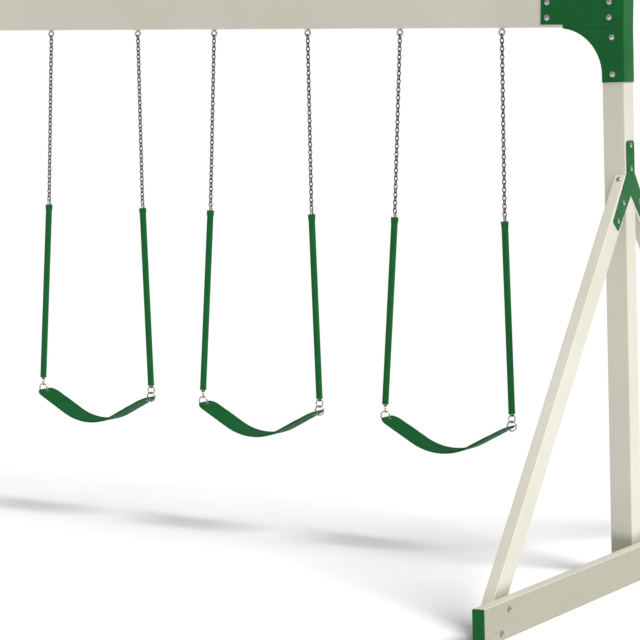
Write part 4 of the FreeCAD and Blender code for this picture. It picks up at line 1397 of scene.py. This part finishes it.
@dataclass
class Belt:
    """The moulded belt: straight sloping ends and a hanging arc between them.

    Attributes:
        width: Across the swing.
        thickness: Through the belt.
        sag: From the holes down to the middle.
        angle: Slope of the ends, in degrees.
        tip: From a hole to the end.
        corner: Radius of the end corners, seen flat.
        rim: How far the rims along both edges stand above the sitting face.
        rim_width: Width of a rim.
        rim_stop: How far from each end the rims stop.
        rim_fade: How many rim widths they take to rise from there.
        rim_crest: Where a rim is highest, in rim widths from the belt's edge.
        crowding: How much the stations crowd together towards both ends, from 0 to 1.
        thinnest: The least square of the thickness at the very end, as a share.
        hole: Radius of the holes that take the eyelets.
        stations: Points along it.
        edge_points: Points round each long edge.
        face_points: Points across each face.
        hole_points: Points round each hole.
    """

    width: float = 150.0 * MM
    thickness: float = 8.0 * MM
    sag: float = 125.0 * MM
    angle: float = 29.0
    tip: float = 16.0 * MM
    corner: float = 45.0 * MM
    rim: float = 1.6 * MM
    rim_width: float = 9.0 * MM
    rim_stop: float = 75.0 * MM
    rim_fade: float = 3.0
    rim_crest: float = 0.6
    crowding: float = 0.35
    thinnest: float = 1e-6
    hole: float = 9.4 * MM
    stations: int = 140
    edge_points: int = 9
    face_points: int = 40
    hole_points: int = 40

    @property
    def columns(self) -> int:
        """Points round the belt's outline: two faces and two edges."""
        return 2 * (self.face_points + self.edge_points)

    def arc_radius(self, half_span: float) -> float:
        """The arc that meets both sloping ends without a kink: (half span times the slope,
        less the sag), times cos over 1 - cos of the end angle."""
        rake = radians(self.angle)
        return (half_span * tan(rake) - self.sag) * cos(rake) / (1 - cos(rake))

    def half_length(self, half_span: float) -> float:
        """Half the belt's length: half the arc, the slope up to the hole, and the tip."""
        rake, radius = radians(self.angle), self.arc_radius(half_span)
        return radius * rake + (half_span - radius * sin(rake)) / cos(rake) + self.tip

    def middle(self, along: np.ndarray, half_span: float) -> tuple[np.ndarray, np.ndarray]:
        """Where the belt's middle surface is. Within the arc, a distance s from the middle
        is at (R sin(s/R), R - R cos(s/R)); beyond it, straight on up the slope. The normal
        is (-sin, cos) of the slope there.

        Args:
            along: Distances from the middle, left to right.
            half_span: From the middle to a hole, level.

        Returns:
            The points and the upward normals, both as X and Z.
        """
        rake, radius = radians(self.angle), self.arc_radius(half_span)
        slope = np.clip(along / radius, -rake, rake)
        past = along - slope * radius
        points = np.stack((radius * np.sin(slope) + past * np.cos(slope),
                           radius * (1 - np.cos(slope)) + past * np.sin(slope)), axis=1)
        return points, np.stack((-np.sin(slope), np.cos(slope)), axis=1)

    def surface(self, half_span: float) -> Surface:
        """A rounded bar's outline carried along the middle surface. At a distance d from
        the end, the half width is the full one less what the corner's circle takes off,
        and the half thickness follows a quarter ellipse over the last of the belt. The
        outline is two faces and two half-round edges; a rim is a smooth bump of the upper
        face near each edge, and it fades out towards the ends.

        Args:
            half_span: From the middle to a hole, level.

        Returns:
            The closed belt, its lowest middle point at the origin.
        """
        total = self.half_length(half_span)
        even = np.linspace(-1, 1, self.stations)
        along = total * np.sin(even * pi / 2) * self.crowding \
            + total * even * (1 - self.crowding)
        middle, normal = self.middle(along, half_span)
        from_end = total - np.abs(along)
        full = self.thickness / 2
        half_thick = full * np.sqrt(np.clip(1 - (1 - np.clip(from_end / full, 0, 1)) ** 2,
                                            self.thinnest, 1))
        corner_left = np.clip(self.corner - from_end, 0, self.corner)
        half_wide = self.width / 2 - self.corner \
            + np.sqrt(np.clip(self.corner ** 2 - corner_left ** 2, 0, None)) \
            - (full - half_thick)
        across, up, top = self.outline(half_wide, half_thick)
        reach = half_wide[:, None] - np.abs(across)
        fade = np.clip((from_end - self.rim_stop) / (self.rim_fade * self.rim_width), 0, 1)
        bump = np.clip(1 - np.abs(reach / self.rim_width - self.rim_crest) / self.rim_crest,
                       0, 1)
        lift = self.rim * (3 * bump ** 2 - 2 * bump ** 3) * (3 * fade ** 2
                                                            - 2 * fade ** 3)[:, None]
        up = up + np.where(top[None, :], lift, 0.0)
        points = np.stack((middle[:, 0][:, None] + normal[:, 0][:, None] * up, across,
                           middle[:, 1][:, None] + normal[:, 1][:, None] * up), axis=-1)
        faces = grid_faces(self.stations, self.columns, False, True)
        return Surface(points.reshape(-1, 3), faces)

    def outline(self, half_wide: np.ndarray,
                half_thick: np.ndarray) -> tuple[np.ndarray, np.ndarray, np.ndarray]:
        """The belt's outline at every station: the upper face, the right edge's half
        circle, the lower face, and the left edge's.

        Args:
            half_wide: Half the width at each station.
            half_thick: Half the thickness at each station.

        Returns:
            The distance across and up of every point, and which points are on the upper
            face.
        """
        share = np.linspace(-1, 1, self.face_points)
        turn = np.linspace(pi / 2, -pi / 2, self.edge_points + 2)[1:-1]
        flat = (half_wide - half_thick)[:, None]
        thick = half_thick[:, None]
        edge = flat + thick * np.cos(turn)
        across = np.concatenate((flat * share, edge, -flat * share, -edge), axis=1)
        up = np.concatenate((thick + 0 * share, thick * np.sin(turn), -thick + 0 * share,
                             -thick * np.sin(turn)), axis=1)
        return across, up, np.arange(self.columns) < self.face_points

    def build(self, name: str, low: Vector, high: Vector, half_span: float) -> bpy.types.Object:
        """Make the belt and cut its two holes.

        Args:
            name: The piece's name.
            low: Lowest corner of the designed belt.
            high: Highest corner of it.
            half_span: From the middle to a hole, level.

        Returns:
            The belt's object.
        """
        place = np.array([(low.x + high.x) / 2, 0.0, low.z + self.thickness / 2])
        surface = self.surface(half_span).moved(np.eye(3), place)
        first_end = np.arange(self.columns)
        last_end = first_end + len(surface.points) - self.columns
        belt = surface.piece(name, (first_end, last_end))
        cutter = self.cutter(place, half_span)
        cut = belt.modifiers.new("holes", "BOOLEAN")
        cut.operation, cut.solver, cut.object = "DIFFERENCE", "EXACT", cutter
        graph = bpy.context.evaluated_depsgraph_get()
        holed = bpy.data.meshes.new_from_object(belt.evaluated_get(graph))
        belt.modifiers.clear()
        belt.data = holed
        holed.name = name
        bpy.data.objects.remove(cutter)
        return belt

    def cutter(self, place: np.ndarray, half_span: float) -> bpy.types.Object:
        """Two cylinders square to the belt's ends: a circle's outline turned about each
        hole's own axis.

        Args:
            place: The belt's lowest middle point.
            half_span: From the middle to a hole, level.

        Returns:
            An object to cut with; it isn't part of the swing.
        """
        reach = 3 * self.thickness
        rod = turned_profile(np.array([[ON_AXIS, -reach], [self.hole, -reach],
                                       [self.hole, reach], [ON_AXIS, reach]]),
                             self.hole_points)
        rods = [rod.moved(turned("Y", -side * self.angle),
                          place + np.array([side * half_span, 0.0, self.sag]))
                for side in SIDES]
        return Surface.joined(rods).piece("hole_cutter")


@dataclass
class Swing:
    """One belt swing: two chains with grips and rings, and the belt between them.

    Attributes:
        hanger_spacing: Between the swing's two eye bolts.
        name: The swing's name in the design.
        grip: The sleeve on each side.
        belt: The seat.
        barrel_radius: Corner radius of a connector's screw barrel.
        barrel_length: Length of the barrel.
        barrel_outline: The barrel's radius and height at each point, as shares of its
            corner radius and half its length.
        barrel_sides: How many flats it has.
        eyelet_edge: Rounding of the eyelets' edges.
        ring_weld: How much thicker a ring is at its weld, as a share.
        weld_width: The angle over which that swelling dies away, in radians.
        seat_weld: How far from the top a seat ring's weld is, in degrees.
        ring_turn: How far the upper rings are turned about the vertical, in degrees.
        ring_stations: Points round a ring.
        ring_around: Points round a ring's wire.
    """

    hanger_spacing: ClassVar[float] = 510.0 * MM

    name: str
    grip: Grip = field(default_factory=Grip)
    belt: Belt = field(default_factory=Belt)
    barrel_radius: float = 4.9 * MM
    barrel_length: float = 13.0 * MM
    barrel_outline: tuple[tuple[float, float], ...] = (
        (ON_AXIS, -1.0), (0.86, -1.0), (1.0, -0.8), (1.0, 0.8), (0.86, 1.0), (ON_AXIS, 1.0))
    barrel_sides: int = 6
    eyelet_edge: float = 0.3 * MM
    ring_weld: float = 0.1
    weld_width: float = 0.12
    seat_weld: float = 75.0
    ring_turn: float = 60.0
    ring_stations: int = 48
    ring_around: int = 14

    def __post_init__(self) -> None:
        """Find the swing's hinge in the record and set out both sides from it."""
        joints = {joint["name"]: joint for joint in frame["joints"]}
        hinge = np.array(joints[self.name + "_hang"]["pos_m"])
        half = self.hanger_spacing / 2
        self.lines: dict[int, HangingLine] = {
            side: HangingLine(hinge + np.array([side * half, 0.0, 0.0]), side)
            for side in SIDES}

    def connectors(self) -> Surface:
        """Both connector links, each an oval wire with a six-sided screw barrel on one
        side, turned a quarter about its length."""
        link = self.lines[1].connector
        size = self.barrel_radius, self.barrel_length / 2
        barrel = turned_profile(np.array(self.barrel_outline) * size, self.barrel_sides)
        whole = Surface.joined([link.surface(), barrel.moved(np.eye(3),
                                                             np.array([link.bend, 0, 0]))])
        quarter = turned("Z", QUARTER_TURN)
        return Surface.joined([
            whole.moved(turned("Y", -side * line.upper_splay) @ quarter, line.connector_middle)
            for side, line in self.lines.items()])

    def ring(self, sizes: tuple[float, float], middle: np.ndarray, turn: float,
             weld_at: float) -> Surface:
        """A round ring in the XZ plane, turned about the vertical. Its wire swells at the
        weld by a bell curve of the angle from it.

        Args:
            sizes: Middle radius and wire radius.
            middle: The ring's middle.
            turn: The turn about the vertical, in degrees.
            weld_at: The weld's angle from +X towards +Z, in degrees.

        Returns:
            The closed ring.
        """
        angle = np.linspace(0, 2 * pi, self.ring_stations, endpoint=False)
        outward = in_xz(angle)
        apart = (angle - radians(weld_at) + pi) % (2 * pi) - pi
        radii = sizes[1] * (1 + self.ring_weld * np.exp(-(apart / self.weld_width) ** 2))
        loop = carried_ring(outward * sizes[0], outward, ALONG_Y, radii, self.ring_around)
        return loop.moved(turned("Z", turn), middle)

    def place(self, surface: Surface, node: str, suffix: str, body: str, finish: Finish,
              dressing: Dressing) -> bpy.types.Object:
        """Make a surface into a piece that stands for a node and rides on a body.

        Args:
            surface: The shape, in place.
            node: The design's node, without the swing's name.
            suffix: What the piece's name adds to the node's.
            body: The body, without the swing's name.
            finish: Its finish.
            dressing: The finishes.

        Returns:
            The new piece.
        """
        piece = surface.piece(f"{self.name}_{node}_{suffix}")
        stand_in(piece, f"{self.name}_{node}", f"{self.name}_{body}")
        dressing.dress(piece, finish)
        return piece

    def build(self, dressing: Dressing) -> list[bpy.types.Object]:
        """Make and dress every piece of the swing.

        Args:
            dressing: The finishes.

        Returns:
            The pieces.
        """
        lines = self.lines
        upper = Surface.joined([line.chain(line.first, line.upper_splay, line.upper_links, 1)
                                for line in lines.values()])
        lower = Surface.joined([
            line.chain(line.lower_first, line.lower_splay, line.lower_links, 0)
            for line in lines.values()])
        # a ring's weld is kept clear of what hangs in it
        chain_rings = Surface.joined([
            self.ring(line.chain_ring, line.chain_ring_middle, side * self.ring_turn, 0.0)
            for side, line in lines.items()])
        seat_rings = Surface.joined([
            self.ring(line.seat_ring, line.seat_ring_middle, 0.0,
                      QUARTER_TURN - side * self.seat_weld)
            for side, line in lines.items()])
        pieces = [
            self.place(upper, "upper_chains", "welded", "chains", Dressing.chain, dressing),
            self.place(lower, "lower_chains", "welded", "chains", Dressing.chain, dressing),
            self.place(self.connectors(), "connector_links", "threaded", "chains",
                       Dressing.ring, dressing),
            self.place(chain_rings, "chain_rings", "welded", "chains", Dressing.ring,
                       dressing),
            self.place(seat_rings, "seat_rings", "welded", "chains", Dressing.ring,
                       dressing)]
        for side, line in lines.items():
            pieces.append(self.place(self.grip.surface(line), SIDE_NAMES[side] + "_grip",
                                     "sleeve", "chains", Dressing.grip, dressing))
        low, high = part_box(self.name + "_seat")
        half_span = (lines[1].hole[0] - lines[-1].hole[0]) / 2
        seat = self.belt.build(f"{self.name}_seat_moulded", low, high, half_span)
        stand_in(seat, self.name + "_seat", self.name + "_seat")
        dressing.dress(seat, Dressing.rubber)
        eyelets = Refined(self.eyelet_edge).of(self.name + "_seat_eyelets", "plated")
        dressing.dress(eyelets, Dressing.ring)
        return pieces + [seat, eyelets]


# ---------------------------------------------------------------- studio
@dataclass
class Studio:
    """A pale floor, soft light from above and the right, and a camera at standing height.

    Attributes:
        floor_size: Side of the floor.
        floor_lines: Grid lines each way.
        floor_drop: How far the floor is under the ground level, so that no faces coincide.
        eye: The camera's place.
        yaw: The camera's turn from +Y towards -X, in radians.
        pitch: How far it looks up, in radians.
        roll: How far it is tipped sideways, in radians.
        lens: Focal length in millimetres.
        sensor: The sensor's width in millimetres.
        clip: How near and how far the camera sees.
        sky: What the background is to the eye.
        sky_light: How strongly the background lights the set.
        key_from: Where the key light comes from, as a direction.
        key_strength: Its strength.
        key_width: How wide its disc is, in degrees.
        fill_from: Where the fill light comes from.
        fill_strength: Its strength.
        fill_width: How wide its disc is, in degrees.
    """

    floor_size: float = 500.0
    floor_lines: int = 9
    floor_drop: float = 0.5 * MM
    eye: tuple[float, float, float] = (6.71563, -10.18493, 2.23050)
    yaw: float = 0.52887
    pitch: float = -0.10096
    roll: float = 0.0020
    lens: float = 144.05
    sensor: float = 36.0
    clip: tuple[float, float] = (0.1, 1000.0)
    sky: str = "#ffffff"
    sky_light: float = 0.33
    key_from: tuple[float, float, float] = (0.62, -0.10, 0.78)
    key_strength: float = 2.9
    key_width: float = 28.0
    fill_from: tuple[float, float, float] = (-0.3, -0.9, 0.5)
    fill_strength: float = 0.15
    fill_width: float = 60.0

    def floor(self, dressing: Dressing) -> None:
        """Lay the floor: a square grid, level.

        Args:
            dressing: The finishes.
        """
        count = self.floor_lines
        line = np.linspace(-self.floor_size / 2, self.floor_size / 2, count)
        x, y = np.meshgrid(line, line, indexing="ij")
        points = np.stack((x, y, np.full_like(x, -self.floor_drop)), axis=-1).reshape(-1, 3)
        mesh = bpy.data.meshes.new("studio_floor")
        faces = grid_faces(count, count, False, False)[:, ::-1]
        mesh.from_pydata(points.tolist(), [], faces.tolist())
        floor = bpy.data.objects.new("studio_floor", mesh)
        bpy.context.scene.collection.objects.link(floor)
        dressing.dress(floor, Dressing.floor)

    def sun(self, name: str, source: tuple[float, float, float], strength: float,
            width: float) -> None:
        """Hang one broad light.

        Args:
            name: The light's name.
            source: The direction it comes from.
            strength: Its strength.
            width: How wide its disc is, in degrees.
        """
        light = bpy.data.lights.new(name, "SUN")
        light.energy = strength
        light.angle = radians(width)
        lamp = bpy.data.objects.new(name, light)
        lamp.rotation_mode = "QUATERNION"
        lamp.rotation_quaternion = Vector(source).to_track_quat("Z", "Y")
        bpy.context.scene.collection.objects.link(lamp)

    def world(self) -> None:
        """Make the background: an even pale tone to the eye, and dimmer as a light."""
        world = bpy.data.worlds.new("studio")
        world.use_nodes = True
        tree = world.node_tree
        tree.nodes.clear()
        ray = add_node(tree, "ShaderNodeLightPath")
        strength = add_node(tree, "ShaderNodeMapRange", {
            "Value": ray.outputs["Is Camera Ray"], "To Min": self.sky_light, "To Max": 1.0})
        sky = add_node(tree, "ShaderNodeBackground", {
            "Color": linear(self.sky), "Strength": strength.outputs[0]})
        add_node(tree, "ShaderNodeOutputWorld", {"Surface": sky.outputs[0]})
        bpy.context.scene.world = world

    def camera(self) -> None:
        """Set up the camera: it looks along (-sin yaw cos pitch, cos yaw cos pitch,
        sin pitch), its right is level, and both its right and up are then rolled."""
        data = bpy.data.cameras.new("camera")
        data.lens, data.sensor_width = self.lens, self.sensor
        data.clip_start, data.clip_end = self.clip
        ahead = Vector((-sin(self.yaw) * cos(self.pitch), cos(self.yaw) * cos(self.pitch),
                        sin(self.pitch)))
        level = Vector((cos(self.yaw), sin(self.yaw), 0.0))
        upright = level.cross(ahead)
        right = level * cos(self.roll) + upright * sin(self.roll)
        up = upright * cos(self.roll) - level * sin(self.roll)
        camera = bpy.data.objects.new("camera", data)
        camera.matrix_world = Matrix((right, up, -ahead)).transposed().to_4x4()
        camera.location = self.eye
        bpy.context.scene.collection.objects.link(camera)
        bpy.context.scene.camera = camera

    def build(self, dressing: Dressing) -> None:
        """Set up the whole studio.

        Args:
            dressing: The finishes.
        """
        self.floor(dressing)
        self.sun("key", self.key_from, self.key_strength, self.key_width)
        self.sun("fill", self.fill_from, self.fill_strength, self.fill_width)
        self.world()
        self.camera()
        bpy.context.scene.view_settings.view_transform = "Standard"


# ---------------------------------------------------------------- main
def report(pieces: list[bpy.types.Object]) -> None:
    """Say what was made.

    Args:
        pieces: The pieces of one sub-assembly.
    """
    for piece in pieces:
        LOG.info("%s: %d faces", piece.name, len(piece.data.polygons))


def main() -> None:
    """Build and dress the swing set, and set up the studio."""
    logging.basicConfig(level=logging.INFO, format="%(message)s")
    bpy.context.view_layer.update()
    dressing = Dressing()
    report(Member("beam_sleeve", ("beam_timber",), Run.BEAM).build(dressing))
    for side in SIDES:
        report(EndFrame(side).build(dressing))
    report(Hangers().build(dressing))
    for name in SWINGS:
        report(Swing(name).build(dressing))
    Studio().build(dressing)


if __name__ == "__main__":
    main()
